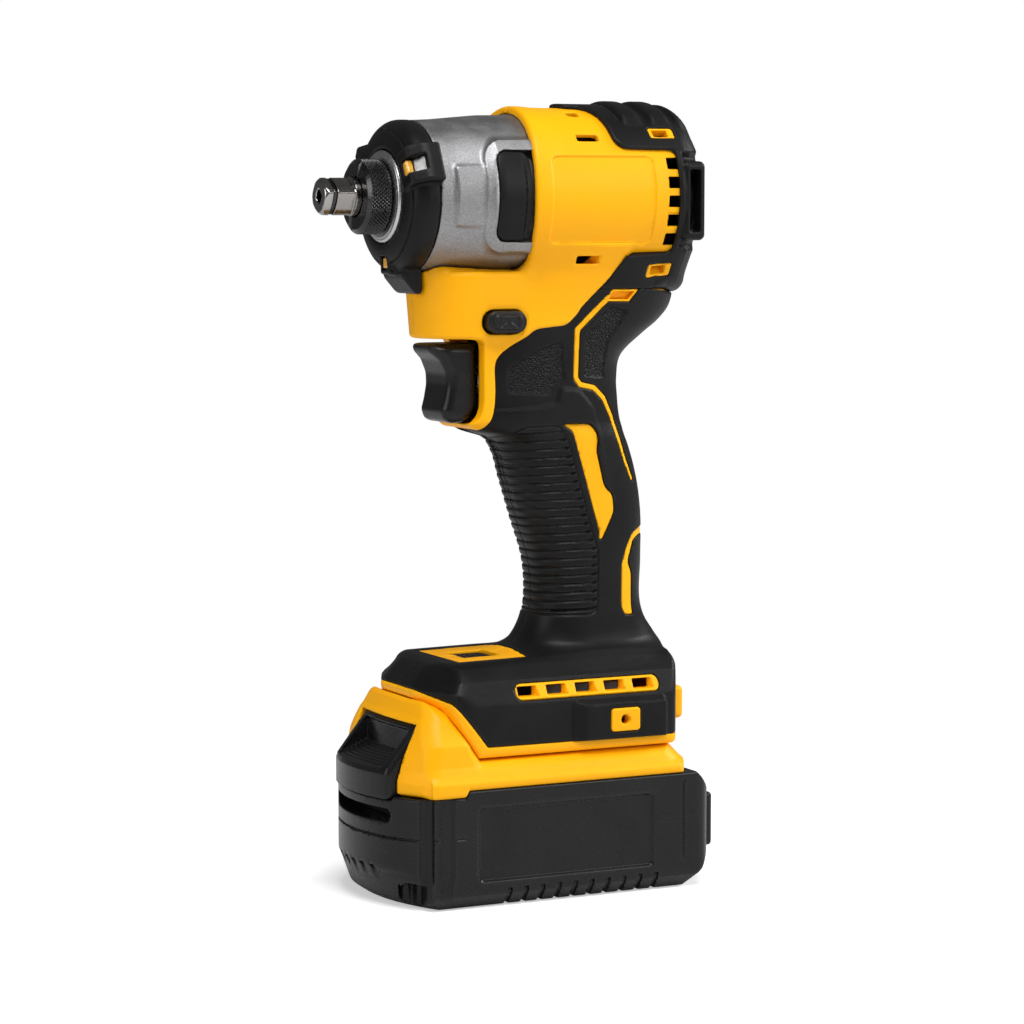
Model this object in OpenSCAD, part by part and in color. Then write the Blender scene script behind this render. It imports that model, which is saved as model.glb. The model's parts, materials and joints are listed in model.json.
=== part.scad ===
// Cordless impact driver with a square drive, a pistol grip and a slide-on battery pack.
// +X points out of the drive, +Z is up and the origin is on the underside of the pack.

/* [Head] */
// Height of the drive axis above the base
axis_z = 233; // [230:0.5:238]
// Outer radius of the motor housing
head_r = 30; // [29.5:0.5:32]
// Wall of the motor housing
head_wall = 2.4; // [2:0.1:2.6]
// Front edge of the motor housing, ahead of the gearbox face
head_front = 10; // [9.5:0.5:11]
// Length of the motor housing behind the gearbox face
head_back = 46; // [46:0.5:48]
// Length of the rear cap
cap_len = 10.5; // [10.5:0.5:13]
// Wall of the rear cap
cap_wall = 2.4; // [2:0.1:3]
// Thickness of the rubber bumpers and of the grip skin
rubber_t = 1.4; // [1:0.1:1.8]
// Number of cooling slots on each side of the motor housing
vent_count = 5; // [3:1:6]
// Height of one cooling slot
vent_h = 3.2; // [2:0.1:4]

/* [Gear case] */
// Distance from the gearbox face to the front of the nose
nose_x = 52; // [51.5:0.5:54]
// Outer radius of the gear case at its rear
case_r_back = 27.8; // [27:0.1:28.4]
// Outer radius of the gear case at the rubber boot
case_r_front = 25.4; // [25:0.1:26]
// Outer radius of the bare nose ring
nose_r = 14.9; // [14:0.1:16]
// Rear edge of the rubber boot on the nose
boot_back = 39.5; // [39:0.5:40.5]
// Outer radius of the rubber boot
boot_r = 25.4; // [25:0.1:26.5]
// Length of the side pads
pad_len = 12.5; // [10:0.5:14]
// Height of the side pads
pad_h = 30; // [24:1:34]
// Width of a lamp
led_w = 5; // [4:0.5:6]

/* [Gears] */
// Module of the planetary gears
gear_module = 0.7; // [0.66:0.01:0.72]
// Teeth on the sun pinion
sun_teeth = 12; // [12:6:12]
// Teeth on each planet gear
planet_teeth = 18; // [18:6:18]
// Play between mating tooth flanks
backlash = 0.14; // [0.1:0.02:0.2]
// Face width of the planet gears
gear_face = 8; // [7:0.5:9]
// Wall of the ring gear outside its teeth
ring_wall = 3.8; // [3.2:0.1:4]
// Radius of the planet pins
pin_r = 2; // [1.6:0.1:2.3]
// Thickness of the bearing plate behind the gears
plate_t = 5; // [4.5:0.5:6]

/* [Impact mechanism] */
// Radius of the cam shaft
cam_r = 7.5; // [7:0.1:7.8]
// Outer radius of the hammer
hammer_r = 20; // [19:0.5:20]
// Backward travel of the hammer
hammer_travel = 6; // [4:0.5:6]
// Radius of the cam balls
ball_r = 2.4; // [2:0.1:2.6]
// Radius of the hammer spring wire
hammer_wire_r = 1.2; // [0.9:0.1:1.3]
// Radius of the anvil in its bush
anvil_r = 7.9; // [7.5:0.1:8.4]
// Wall of the anvil bush
bush_wall = 2.2; // [1.8:0.1:2.6]
// Size of the square drive across its flats
drive_af = 9.53; // [9:0.01:10]
// Distance from the gearbox face to the end of the drive
drive_x = 74; // [73:0.5:78]
// Radius of the hole in the end of the drive
drive_hole_r = 2.2; // [1.5:0.1:2.6]
// Outer radius of the locking sleeve
sleeve_r = 11.6; // [11:0.1:12.6]
// Length of the locking sleeve
sleeve_len = 9.7; // [9.5:0.1:10.5]
// Forward travel of the locking sleeve
sleeve_travel = 3; // [2:0.5:3]

/* [Motor] */
// Outer radius of the stator
stator_r = 25; // [24:0.2:26]
// Length of the stator stack
stator_len = 19; // [17:0.5:20]
// Radius of the rotor over its magnets
rotor_r = 12.6; // [12:0.1:13]
// Radius of the rotor shaft
shaft_r = 2.5; // [2.2:0.1:3]
// Number of fan blades
fan_blades = 12; // [8:1:15]

/* [Grip and trigger] */
// Half width of the grip
grip_half = 16.6; // [16:0.2:18]
// Wall of the grip under its rubber skin
grip_wall = 2.6; // [2:0.2:3]
// Half width of the trigger
trigger_half = 10.5; // [9:0.25:10.5]
// Travel of the trigger
trigger_travel = 6; // [4:0.5:6]
// Length of the direction button
button_len = 16; // [14:0.5:17]
// Height of the direction button
button_h = 7.4; // [6:0.2:8]
// Travel of the direction button to each side
button_travel = 2.5; // [1.5:0.5:3]

/* [Foot] */
// Height of the flat underside of the foot
foot_z = 49.3; // [49.3:0.1:51]
// Height of the top of the foot
foot_top = 80.5; // [80:0.5:84]
// Half width of the foot
foot_half = 32.5; // [32:0.5:35]
// Wall of the foot
foot_wall = 3; // [2.5:0.5:3.5]
// Radius of the threaded hole for a belt hook
hook_hole_r = 2; // [1.5:0.1:2.5]
// Width of the speed selector
selector_w = 14; // [12:0.5:18]
// Travel of the speed selector
selector_travel = 1.5; // [1:0.25:2]

/* [Battery pack] */
// Half width of the pack
pack_half = 35.5; // [35.5:0.5:38]
// Back of the pack
pack_back = -53; // [-55:0.5:-52.5]
// Middle of the bulging front of the pack
pack_front = 62; // [61.5:0.5:63]
// Wall of the pack
pack_wall = 2.5; // [2:0.1:2.8]
// Radius of one cell
cell_r = 9.2; // [9:0.05:9.25]
// Length of one cell
cell_len = 65; // [64:0.5:65.5]
// Height of the joint between the two shells of the pack
pack_split = 37.5; // [36:0.5:38.5]
// Half width of the release latch
latch_half = 16.5; // [14:0.5:18]
// Travel of the release latch
latch_travel = 2.5; // [1.5:0.5:2.5]

/* [Clearances] */
// Gap between pieces that slide or turn past each other
run_gap = 0.4; // [0.3:0.05:0.5]
// Radial clearance of a shaft in its bearing
shaft_fit = 0.04; // [0.02:0.01:0.08]
// Gap between pieces that are fixed together
seat_gap = 0.05; // [0.02:0.01:0.1]

/* [Hidden] */
$fn = 64;
yellow = "#F2B01E";
black = "#2B2B2B";
steel = "#8A8C90";
cast = "#A9ABAE";

// Depth below the drive axis, as a height above the base
function under(d) = axis_z - d;

// Stations along the drive axis
ring_len = gear_face + 1;
carrier_back = ring_len + run_gap;
carrier_t = 3;
carrier_front = carrier_back + carrier_t;
hammer_back = carrier_front + 3.6;
hammer_front = 31;
lug_len = 4;
hub_back = hammer_front + 1;
hub_front = hub_back + 4.5;
washer_t = 0.7;
wall_x = hub_front + washer_t + 0.2;
neck_x = nose_x + 2;
sleeve_back = nose_x + 0.9;
sleeve_front = sleeve_back + sleeve_len;
clip_x = sleeve_front - 1.2;
lip_t = 1.5;
lip_back = clip_x - lip_t - sleeve_travel - 1.4;
clip_t = 1;
square_x = sleeve_front + 0.6;
groove_x = drive_x - 5;
groove_t = 1.6;

// Gear sizes
ring_teeth = sun_teeth + 2 * planet_teeth;
orbit_r = gear_module * (sun_teeth + planet_teeth) / 2;
ring_root_r = gear_module * (ring_teeth / 2 + 1.25);
ring_r = ring_root_r + ring_wall;
pressure_angle = 25;
planet_count = 3;

// Radii of the gear case
head_bore_r = head_r - head_wall;
spigot_r = head_bore_r - seat_gap;
seat_r = ring_r + seat_gap;
case_bore_r = max(hammer_r + 1.2, ring_r - 0.6);
chamber_r = hammer_r + 0.6;
boot_seat_r = case_r_front - 2.6;
bush_r = anvil_r + shaft_fit + bush_wall;
neck_r = anvil_r - 1.5;
clip_groove_r = neck_r - 0.8;
drive_corner_r = drive_af * 0.635;
drive_groove_r = drive_af / 2 - 0.2;

// Stations of the motor, from the gearbox face backwards
bearing_r = 8;
bearing_len = 4.5;
board_front = -plate_t - 3.7;
board_t = 1.6;
coil_over = 3.4;
stator_front = board_front - board_t - coil_over - 0.2;
stator_back = stator_front - stator_len;
fan_front = stator_back - coil_over - 2;
fan_len = 6;
fan_r = 22;
cap_back = -head_back - cap_len;
rear_bearing_x = cap_back + cap_wall + 0.2;
air_gap = 0.5;
tooth_r = rotor_r + air_gap;
yoke_r = stator_r - 3.5;
magnet_t = 1.6;
coil_count = 6;

// Handle outline: height, front, back and half width of each section
handle = [
  [foot_top - 3.5, 14, -50, grip_half + 4],
  [foot_top + 4.5, 4, -48, grip_half + 1],
  [foot_top + 13.5, -2.5, -43.5, grip_half],
  [foot_top + 29.5, -2, -43.2, grip_half],
  [foot_top + 45.5, 3.2, -43.2, grip_half + 0.2],
  [under(95), 6.6, -41, grip_half + 0.4],
  [under(83.5), 9, -37.7, grip_half + 0.4],
  [under(79.5), 12, -36.2, grip_half + 0.5],
  [under(77), 25, -35.2, grip_half + 0.6],
  [under(73), 28, -34.2, grip_half + 0.6],
  [under(61), 27.5, -33.5, grip_half + 0.8],
  [under(53), 27.5, -35.3, grip_half + 1.2],
  [under(46), 28, -40, grip_half + 1.6],
  [under(37), 12, -50, grip_half + 2.4],
  [under(27), 10, -55, grip_half + 4.6],
  [under(16), 9.5, -52, grip_half + 7.4]
];
handle_sides = 28;
handle_power = 2.4;
skin_end = len(handle) - 1;

// Trigger and switch
trigger_top = under(48.5);
trigger_low = under(73.5);
cavity_top = trigger_top + 1.5;
cavity_low = trigger_low - 0.5;
trigger_back = 21.5;
cavity_half = trigger_half + 0.7;
switch_front = trigger_back - trigger_travel - 0.5;
switch_back = -14;
plunger_r = 3;
plunger_z = under(61);
plunger_len = 15;
spring_pocket = 6;
button_x = 16;
button_z = under(41.2);
button_half = grip_half + button_travel + 1.9;

// Foot and channel for the pack
foot_back = -48;
foot_front = 47.5;
rim_h = 3;
ramp_x0 = 28.5;
ramp_x1 = 41.5;
ramp_z1 = foot_z + 15.7;
lip_z = ramp_z1 + 2.5;
rail_neck_half = 18;
rail_half = 21;
rail_neck_z = foot_z + 4.7;
rail_top_z = foot_z + 9;
rail_back = -27.5;
rail_front = 27;
channel_back = rail_back - 2.5;
hook_x = -22.9;
hook_z = foot_z + 9.9;
hook_depth = 8;
foot_room_half = foot_half - foot_wall - 2.5;
selector_x = 18.5;
selector_len = 12;
selector_top = foot_top - 1;
selector_low = selector_top - selector_travel - 3;
blade_ys = [-12, -6, 0, 6, 12];
blade_t = 0.8;
blade_len = 17;
blade_slot = 2.3;
contact_t = 0.5;
contact_y = blade_t / 2 + 0.42;
board_z = rail_top_z + 5;

// Pack
bulge_r = 58;
cell_pitch = 2 * cell_r + 0.5;
cell_rows = 2;
cell_columns = 5;
cell_floor = pack_wall + 0.3;
cells_end = cell_columns * cell_pitch / 2 + 0.4;
cells_top = cell_floor + cell_rows * cell_pitch;
pack_top = foot_z - 0.6;
front_split = pack_split - 3.5;
latch_room = latch_travel + 1.2;
hump_gap = 0.6;
latch_low = 33.5;
latch_top = 59.5;
latch_low_x = pack_front - 1.2;
latch_top_x = 48;
latch_t = 6;
pack_screw_z = 12;
pack_screw_r = 1.1;
pack_screw_head_r = 1.9;
pack_screw_len = 29;
back_screw_y = pack_half - 8.5;
front_screw_y = pack_half - 13.5;
screw_spots = [
  [-cells_end - 2.4, back_screw_y], [-cells_end - 2.4, -back_screw_y],
  [pack_front - 8, front_screw_y], [pack_front - 8, -front_screw_y]
];

// Positions of the housing screws: x and height
case_screws = [
  [33, under(38.5)], [-28, under(42)], [-24, under(76)], [-30, foot_top + 27],
  [36, foot_top - 6.5], [-41, foot_top - 9.5]
];
screw_r = 1.4;
screw_head_r = 2.8;
screw_seat_y = -11.5;
boss_r = 3.8;

// Shapes that several pieces share

module on_axis(x) { translate([x, 0, axis_z]) rotate([0, 90, 0]) children(); }

module rod(x0, x1, r) { on_axis(x0) cylinder(h = x1 - x0, r = r); }

module tube(x0, x1, outer, inner) {
  difference() {
    rod(x0, x1, outer);
    rod(x0 - 1, x1 + 1, inner);
  }
}

// Solid of revolution about the drive axis, from points of radius and x
module turned(points) { on_axis(0) rotate_extrude() polygon(points); }

module block(low, high) { translate(low) cube(high - low); }

// Side outline of x and height, as thick as twice the half width
module plate(points, half) {
  translate([0, half, 0]) rotate([90, 0, 0]) linear_extrude(height = 2 * half) polygon(points);
}

// Front outline of y and height, from x0 to x1
module slab(points, x0, x1) {
  translate([x0, 0, 0]) rotate([90, 0, 90]) linear_extrude(height = x1 - x0) polygon(points);
}

// Outline of half widths and heights, mirrored about the middle plane
function both_sides(points) =
  concat(points, [for (i = [len(points) - 1:-1:0]) [-points[i][0], points[i][1]]]);

module across(x, z, y0, y1, r) { translate([x, y0, z]) rotate([-90, 0, 0]) cylinder(h = y1 - y0, r = r); }

module left_side() { block([-200, 0, -10], [200, 100, 400]); }

function signed_power(v, p) = sign(v) * pow(abs(v), p);

// One section of the handle as a ring of points
function handle_ring(s, inset) = [
  for (j = [0:handle_sides - 1])
    let (a = (j + 0.5) * 360 / handle_sides, p = 2 / handle_power)
      [
        (s[1] + s[2]) / 2 + ((s[1] - s[2]) / 2 - inset) * signed_power(cos(a), p),
        (s[3] - inset) * signed_power(sin(a), p),
        s[0]
      ]
];

// Closed skin over rings of equal numbers of points
module loft(rings) {
  n = len(rings[0]);
  m = len(rings);
  polyhedron(
    points = [for (r = rings) each r],
    faces = concat(
      [[for (j = [0:n - 1]) j]],
      [[for (j = [n - 1:-1:0]) (m - 1) * n + j]],
      [for (i = [0:m - 2]) for (j = [0:n - 1]) [i * n + j, (i + 1) * n + j, (i + 1) * n + (j + 1) % n]],
      [for (i = [0:m - 2]) for (j = [0:n - 1]) [i * n + j, (i + 1) * n + (j + 1) % n, i * n + (j + 1) % n]]
    )
  );
}

module handle_form(inset, first, last) {
  loft([for (i = [first:last]) handle_ring(handle[i], inset)]);
}

// Coil spring along +Z from the origin
module coil(mean_r, wire_r, length, turns) {
  steps = 20;
  sides = 6;
  rise = length - 2 * wire_r;
  loft([
    for (i = [0:steps * turns])
      [for (j = [0:sides - 1])
        let (a = i * 360 / steps, b = -j * 360 / sides, r = mean_r + wire_r * cos(b))
          [r * cos(a), r * sin(a), wire_r + rise * i / (steps * turns) + wire_r * sin(b)]]
  ]);
}

// Involute of a base circle, as an angle at a radius
function involute(base_r, r) =
  let (a = acos(min(1, base_r / r))) tan(a) * 180 / PI - a;

// Outline of a spur gear with a tooth centred on +X
function gear_outline(teeth, outer, root, thin) =
  let (
    pitch_r = gear_module * teeth / 2,
    base_r = pitch_r * cos(pressure_angle),
    half = 90 / teeth - thin / 2 / pitch_r * 180 / PI + involute(base_r, pitch_r),
    low = max(base_r, root),
    radii = concat(root < base_r ? [root] : [], [for (k = [0:4]) low + (outer - low) * k / 4])
  )
  [
    for (t = [0:teeth - 1])
      each concat(
        [for (k = [0:len(radii) - 1])
          let (a = t * 360 / teeth - half + involute(base_r, max(base_r, radii[k])))
            radii[k] * [cos(a), sin(a)]],
        [for (k = [len(radii) - 1:-1:0])
          let (a = t * 360 / teeth + half - involute(base_r, max(base_r, radii[k])))
            radii[k] * [cos(a), sin(a)]]
      )
  ];

function spur_outline(teeth) =
  gear_outline(teeth, gear_module * (teeth / 2 + 1), gear_module * (teeth / 2 - 1.25), backlash / 2);

// Housing

// Space behind the motor housing that the rear cap and its rubber fill
module rear_zone(gap) { rod(-head_back - 40, -head_back, head_r + rubber_t + gap); }

// Outline of the yellow front of the lower housing, seen from the side
front_region = [
  [60, under(79)], [22, under(79)], [17.5, under(72)], [17.5, under(54)], [8, under(46.6)],
  [2, under(42.6)], [-8, under(42.6)], [-22, under(28.5)], [-27, under(19)], [-27, under(0)], [60, under(0)]
];

module chin() {
  r = grip_half + 0.4;
  difference() {
    translate([0, 0, cavity_top])
      linear_extrude(height = 22)
        union() {
          translate([24, 0]) circle(r = r);
          translate([9, -r]) square([15, 2 * r]);
        }
    rod(head_front - 20, nose_x + 10, case_r_back + run_gap);
  }
}

function foot_outline(inset) = [
  [foot_back + 2, foot_z], [ramp_x0, foot_z], [ramp_x1, ramp_z1], [foot_front, lip_z],
  [foot_front, lip_z + 5 - inset], [foot_front - 7, foot_top - 1 - 1.4 * inset],
  [foot_front - 39, foot_top - inset], [foot_back + 3, foot_top - inset],
  [foot_back + inset, foot_top - 8 - inset]
];

module foot_form(inset) {
  intersection() {
    plate(foot_outline(inset), foot_half - inset);
    slab(both_sides([
      [foot_half - inset, foot_z - 1], [foot_half - inset, foot_z + 18],
      [foot_half - 4 - inset, foot_top - 6], [foot_half - 11 - inset, foot_top - inset]
    ]), foot_back - 1, foot_front + 1);
    linear_extrude(height = foot_top + 1)
      polygon([
        [foot_front - inset, -11.5], [foot_front - inset, 11.5], [foot_front - 9 - inset, foot_half - 2],
        [foot_front - 15, foot_half], [foot_back + 8, foot_half], [foot_back + inset, foot_half - 9],
        [foot_back + inset, 9 - foot_half], [foot_back + 8, -foot_half], [foot_front - 15, -foot_half],
        [foot_front - 9 - inset, 2 - foot_half]
      ]);
  }
}

// Yellow rim along the lower edge of the foot
module foot_rim_zone() {
  plate([
    [foot_back - 5, foot_z - 5], [ramp_x0 + 4, foot_z - 5], [foot_front + 5, lip_z - 4],
    [foot_front + 5, lip_z + rim_h],
    [ramp_x1 - 1.5, ramp_z1 + rim_h], [ramp_x0 - 1.5, foot_z + rim_h], [foot_back - 5, foot_z + rim_h]
  ], foot_half + 1);
}

// Space for the rails of the pack, open to the front
module rail_form(gap, x0, x1) {
  slab(both_sides([
    [rail_neck_half + gap, foot_z - 2], [rail_neck_half + gap, rail_neck_z - gap],
    [rail_half + gap, rail_neck_z - gap], [rail_half + gap, rail_top_z + gap]
  ]), x0, x1);
}

// Round bar at a belt hook, between two distances from the middle plane
module hook_bar(side, inner, outer, r) {
  across(hook_x, hook_z, min(side * inner, side * outer), max(side * inner, side * outer), r);
}

module housing_cavities() {
  // Motor and gearbox
  rod(-head_back - 1, head_front + 1, head_bore_r);
  rod(head_front - seat_gap, nose_x + 20, case_r_back + run_gap);
  // Switch and trigger
  block([switch_back - 0.2, -cavity_half, cavity_low], [70, cavity_half, cavity_top]);
  // Space over the switch
  block([-22, 4 - grip_half, under(46.9)], [4, grip_half - 4, under(20)]);
  // Inside of the grip
  loft([
    for (i = [0:7]) handle_ring(handle[i], rubber_t + grip_wall),
    handle_ring([under(70), handle[7][1], handle[7][2], handle[7][3]], rubber_t + grip_wall)
  ]);
  // Inside of the foot
  block([foot_back + foot_wall + 4, -foot_room_half, rail_top_z + 3],
        [foot_front - foot_wall - 9, foot_room_half, foot_top - foot_wall - 3]);
  rail_form(run_gap, channel_back, foot_front + 20);
  block([channel_back - 10.2, -16.2, foot_z + 4.2], [channel_back + 1, 16.2, rail_top_z + 4]);
  // Direction button
  button_shape(button_half + 5, run_gap);
  // Speed selector
  block([selector_x - selector_len / 2 - 0.3, -selector_w / 2 - 0.3, foot_top - 8],
        [selector_x + selector_len / 2 + 0.3, selector_w / 2 + 0.3, foot_top + 5]);
  // Cooling slots beside the fan and along the foot
  for (i = [0:vent_count - 1])
    translate([-head_back + 1.2, 0, axis_z + (i - (vent_count - 1) / 2) * 6.2 - vent_h / 2])
      translate([0, -head_r - 1, 0]) cube([4.8, 2 * head_r + 2, vent_h]);
  for (i = [0:4])
    translate([-33 + i * 10, -foot_half - 1, foot_z + 19.6]) cube([7, 2 * foot_half + 2, 2.6]);
}

module housing_fillings() {
  // Seats that hold the stator
  for (x = [stator_back + 2, stator_front - 4])
    tube(x, x + 2, head_bore_r + 1, stator_r + seat_gap);
  // Screw bosses
  intersection() {
    for (s = case_screws) across(s[0], s[1], -foot_half, foot_half, boss_r);
    union() {
      handle_form(rubber_t + 0.2, 0, skin_end);
      foot_form(rubber_t + 0.2);
      chin();
    }
  }
  // Posts for the control board
  for (x = [-20, 24]) for (y = [-23, 23])
    translate([x, y, rail_top_z + 2]) cylinder(h = board_z - rail_top_z - 2, r = 2.5);
}

module housing_form() {
  difference() {
    union() {
      difference() {
        union() {
          rod(-head_back, head_front, head_r);
          difference() {
            handle_form(rubber_t, 0, skin_end);
            rear_zone(run_gap);
          }
          intersection() {
            handle_form(0, 7, skin_end);
            plate(front_region, 40);
          }
          chin();
          foot_form(rubber_t);
          intersection() {
            foot_form(0);
            foot_rim_zone();
          }
        }
        housing_cavities();
      }
      housing_fillings();
    }
    // Screw holes, with the heads sunk into the right half
    for (s = case_screws) {
      across(s[0], s[1], screw_seat_y - 1, 9, screw_r + seat_gap);
      across(s[0], s[1], -60, screw_seat_y, screw_head_r + 0.1);
    }
    // Belt hook inserts
    for (m = [1, -1])
      hook_bar(m, foot_half - hook_depth, 60, hook_hole_r + 2 + seat_gap);
  }
}

module housing_left() {
  color(yellow) intersection() {
    housing_form();
    left_side();
  }
}

module housing_right() {
  color(yellow) difference() {
    housing_form();
    left_side();
  }
}

module grip_skin_form() {
  difference() {
    union() {
      difference() {
        handle_form(0, 0, skin_end);
        plate(front_region, 40);
        rod(-head_back - 20, head_front + 1, head_r + seat_gap);
        rear_zone(run_gap);
      }
      foot_form(0);
    }
    handle_form(rubber_t - seat_gap, 0, skin_end);
    foot_form(rubber_t - seat_gap);
    foot_rim_zone();
    block([selector_x - selector_len / 2 - 4, -selector_w / 2 - 6, foot_top - 8],
          [selector_x + selector_len / 2 + 4, selector_w / 2 + 6, foot_top + 5]);
    for (i = [0:4])
      translate([-34 + i * 10, -foot_half - 1, foot_z + 18.6]) cube([9, 2 * foot_half + 2, 4.6]);
    for (m = [1, -1])
      hook_bar(m, 0, 60, hook_hole_r + 2.6);
    for (s = case_screws) across(s[0], s[1], -60, 0, screw_head_r + 0.3);
  }
}

module grip_skin_left() {
  color(black) intersection() {
    grip_skin_form();
    left_side();
  }
}

module grip_skin_right() {
  color(black) difference() {
    grip_skin_form();
    left_side();
  }
}

module rear_cap() {
  x0 = cap_back;
  x1 = -head_back - seat_gap;
  color(black) difference() {
    union() {
      turned([
        [0, x0], [head_r - 5, x0], [head_r - 1.6, x0 + 5], [head_r - 1.2, x1],
        [head_r - 1.2 - cap_wall, x1], [head_r - 1.6 - cap_wall, x0 + 5],
        [head_r - 5 - cap_wall, x0 + cap_wall], [0, x0 + cap_wall]
      ]);
      rod(x0 + 1, rear_bearing_x + bearing_len, bearing_r + 2.5);
    }
    rod(rear_bearing_x, 0, bearing_r + seat_gap);
  }
}

// Rubber around the rear of the head, with a saddle over its top and a lug on each side
module rear_bumper() {
  x0 = cap_back - 1.5;
  lug_h = 26;
  color(black) difference() {
    union() {
      turned([
        [18, x0], [head_r - 4.6, x0], [head_r, x0 + 4], [head_r + rubber_t, x0 + 9],
        [head_r + rubber_t, -head_back], [18, -head_back]
      ]);
      intersection() {
        rod(-head_back - 1, -18, head_r + rubber_t);
        slab([[0, axis_z], [40, axis_z + 27], [40, axis_z + 50], [-40, axis_z + 50], [-40, axis_z + 27]],
             -head_back - 1, -18);
      }
      for (m = [1, -1])
        block([x0 - 1, m * 20 - 5, axis_z - lug_h / 2], [x0 + 8, m * 20 + 5, axis_z + lug_h / 2]);
    }
    turned([
      [0, x0 - 5], [15, x0 - 5], [15, cap_back - seat_gap], [head_r - 5, cap_back - seat_gap],
      [head_r - 1.6 + seat_gap, cap_back + 5], [head_r - 1.2 + seat_gap, -head_back],
      [head_r - 1.2 + seat_gap, -head_back + 1], [0, -head_back + 1]
    ]);
    rod(-head_back - seat_gap, 0, head_r + seat_gap);
    // Slots in the lugs
    for (m = [1, -1])
      block([x0 - 2, m * 21.5 - 1.6, axis_z - lug_h / 2 + 3], [x0 + 2, m * 21.5 + 1.6, axis_z + lug_h / 2 - 3]);
  }
}

// Nose and gear case

pad_x0 = head_front + 0.6;
pad_in_r = case_r_back - 2.4;
pad_out_r = case_r_back + 0.8;

module pad_zone(grow) {
  block([pad_x0 - grow, -40, axis_z - pad_h / 2 - grow],
        [pad_x0 + pad_len + grow, 40, axis_z + pad_h / 2 + grow]);
}

module gear_case() {
  color(cast) difference() {
    union() {
      turned([
        [0, 0], [spigot_r, 0], [spigot_r, head_front], [case_r_back, head_front + 0.2],
        [case_r_back, head_front + 8], [case_r_front, boot_back - 4], [case_r_front, boot_back],
        [boot_seat_r, boot_back], [boot_seat_r, boot_back + 4.5], [nose_r, nose_x - 5], [nose_r, nose_x - 0.6],
        [nose_r - 0.6, nose_x], [0, nose_x]
      ]);
      // Raised rim round each side pad
      intersection() {
        tube(head_front + 0.2, pad_x0 + pad_len + 2.4, pad_out_r + 0.2, pad_in_r);
        pad_zone(2.2);
      }
    }
    intersection() {
      tube(head_front - 1, 40, 40, pad_in_r);
      pad_zone(0.1);
    }
    rod(-1, ring_len + 0.1, seat_r);
    rod(ring_len, hammer_front - 2, case_bore_r);
    rod(hammer_front - 2.1, wall_x, chamber_r);
    rod(wall_x - 1, nose_x + 1, bush_r + seat_gap);
    at_case_screws(-1) cylinder(h = 9.5, r = case_screw_r + seat_gap);
  }
}

screw_ring_r = (spigot_r + seat_r) / 2;
case_screw_r = 1.5;

module rotate_on_axis(a) { translate([0, 0, axis_z]) rotate([a, 0, 0]) children(); }

// Each of the four screws that hold the gear case, along the drive axis from x
module at_case_screws(x) {
  for (k = [0:3]) rotate_on_axis(45 + 90 * k) translate([x, 0, screw_ring_r]) rotate([0, 90, 0]) children();
}

// Angles of the three lamps, from straight up
lamp_angles = [60, -60, 180];

module nose_boot() {
  lug_r = boot_r + 3;
  front = nose_x - 1.4;
  color(black) difference() {
    union() {
      turned([
        [nose_r + seat_gap, boot_back + seat_gap], [boot_r, boot_back + seat_gap], [boot_r, front - 4],
        [boot_r - 2, front - 1], [boot_r - 5, front], [nose_r + seat_gap, front + 0.4]
      ]);
      for (a = lamp_angles)
        rotate_on_axis(a)
          plate([
            [boot_back + 1, boot_r - 6], [front - 1, boot_r - 8], [front - 0.4, boot_r - 2],
            [front - 3, lug_r - 1], [boot_back + 4, lug_r], [boot_back + 1, lug_r - 2]
          ], 6);
    }
    turned([
      [0, 0], [boot_seat_r + seat_gap, 0], [boot_seat_r + seat_gap, boot_back + 4.5 + seat_gap],
      [nose_r + seat_gap, nose_x - 5 + seat_gap], [nose_r + seat_gap, nose_x + 5], [0, nose_x + 5]
    ]);
    for (a = lamp_angles)
      rotate_on_axis(a) block([lamp_x, -led_w / 2, lamp_r - 2.5], [nose_x + 5, led_w / 2, lamp_r + 2.5]);
    tube(lamp_x - 1.7, lamp_x + 0.05, lamp_r + 2.7, lamp_r - 2.7);
  }
}

lamp_r = boot_r - 3.9;
lamp_x = nose_x - 4.2;

module lamp_lenses() {
  color("#FFD27A")
    for (a = lamp_angles)
      rotate_on_axis(a)
        intersection() {
          block([lamp_x + seat_gap, -led_w / 2 + seat_gap, lamp_r - 2.4],
                [nose_x - 0.5, led_w / 2 - seat_gap, lamp_r + 2.4]);
          translate([lamp_x - 1.2, 0, lamp_r]) sphere(r = 4);
        }
}

module lamp_board() { color("#2E6B3A") tube(lamp_x - 1.6, lamp_x, lamp_r + 2.6, lamp_r - 2.6); }

module side_pads() {
  color(black) intersection() {
    tube(head_front + 0.3, 40, pad_out_r, pad_in_r + seat_gap);
    pad_zone(0);
  }
}

module screw_along(length, r, head_r, head_t) {
  cylinder(h = length, r = r);
  translate([0, 0, -head_t]) difference() {
    cylinder(h = head_t, r = head_r);
    translate([0, 0, -0.5]) cylinder(h = head_t / 2 + 0.5, r = head_r * 0.45, $fn = 6);
  }
}

module gear_case_screws() {
  color(steel) at_case_screws(-plate_t) screw_along(plate_t + 8, case_screw_r, 2.6, 2);
}

module housing_screws() {
  color(steel)
    for (s = case_screws)
      translate([s[0], screw_seat_y, s[1]]) rotate([-90, 0, 0])
        screw_along(-screw_seat_y + 8, screw_r, screw_head_r, 2);
}

// Gearbox and impact mechanism

module bearing_plate() {
  color(steel) difference() {
    rod(-plate_t, -seat_gap, spigot_r);
    rod(-plate_t - 1, -0.5, bearing_r + seat_gap);
    rod(-2, 1, gear_module * (sun_teeth / 2 + 1) + 0.6);
    at_case_screws(-plate_t - 1) cylinder(h = plate_t + 2, r = case_screw_r + 2 * seat_gap);
  }
}

module bearing(x0) {
  color(steel) tube(x0, x0 + bearing_len - 0.1, bearing_r, shaft_r + shaft_fit);
}

module front_bearing() { bearing(-0.5 - bearing_len); }

module rear_bearing() { bearing(rear_bearing_x + 0.1); }

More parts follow.
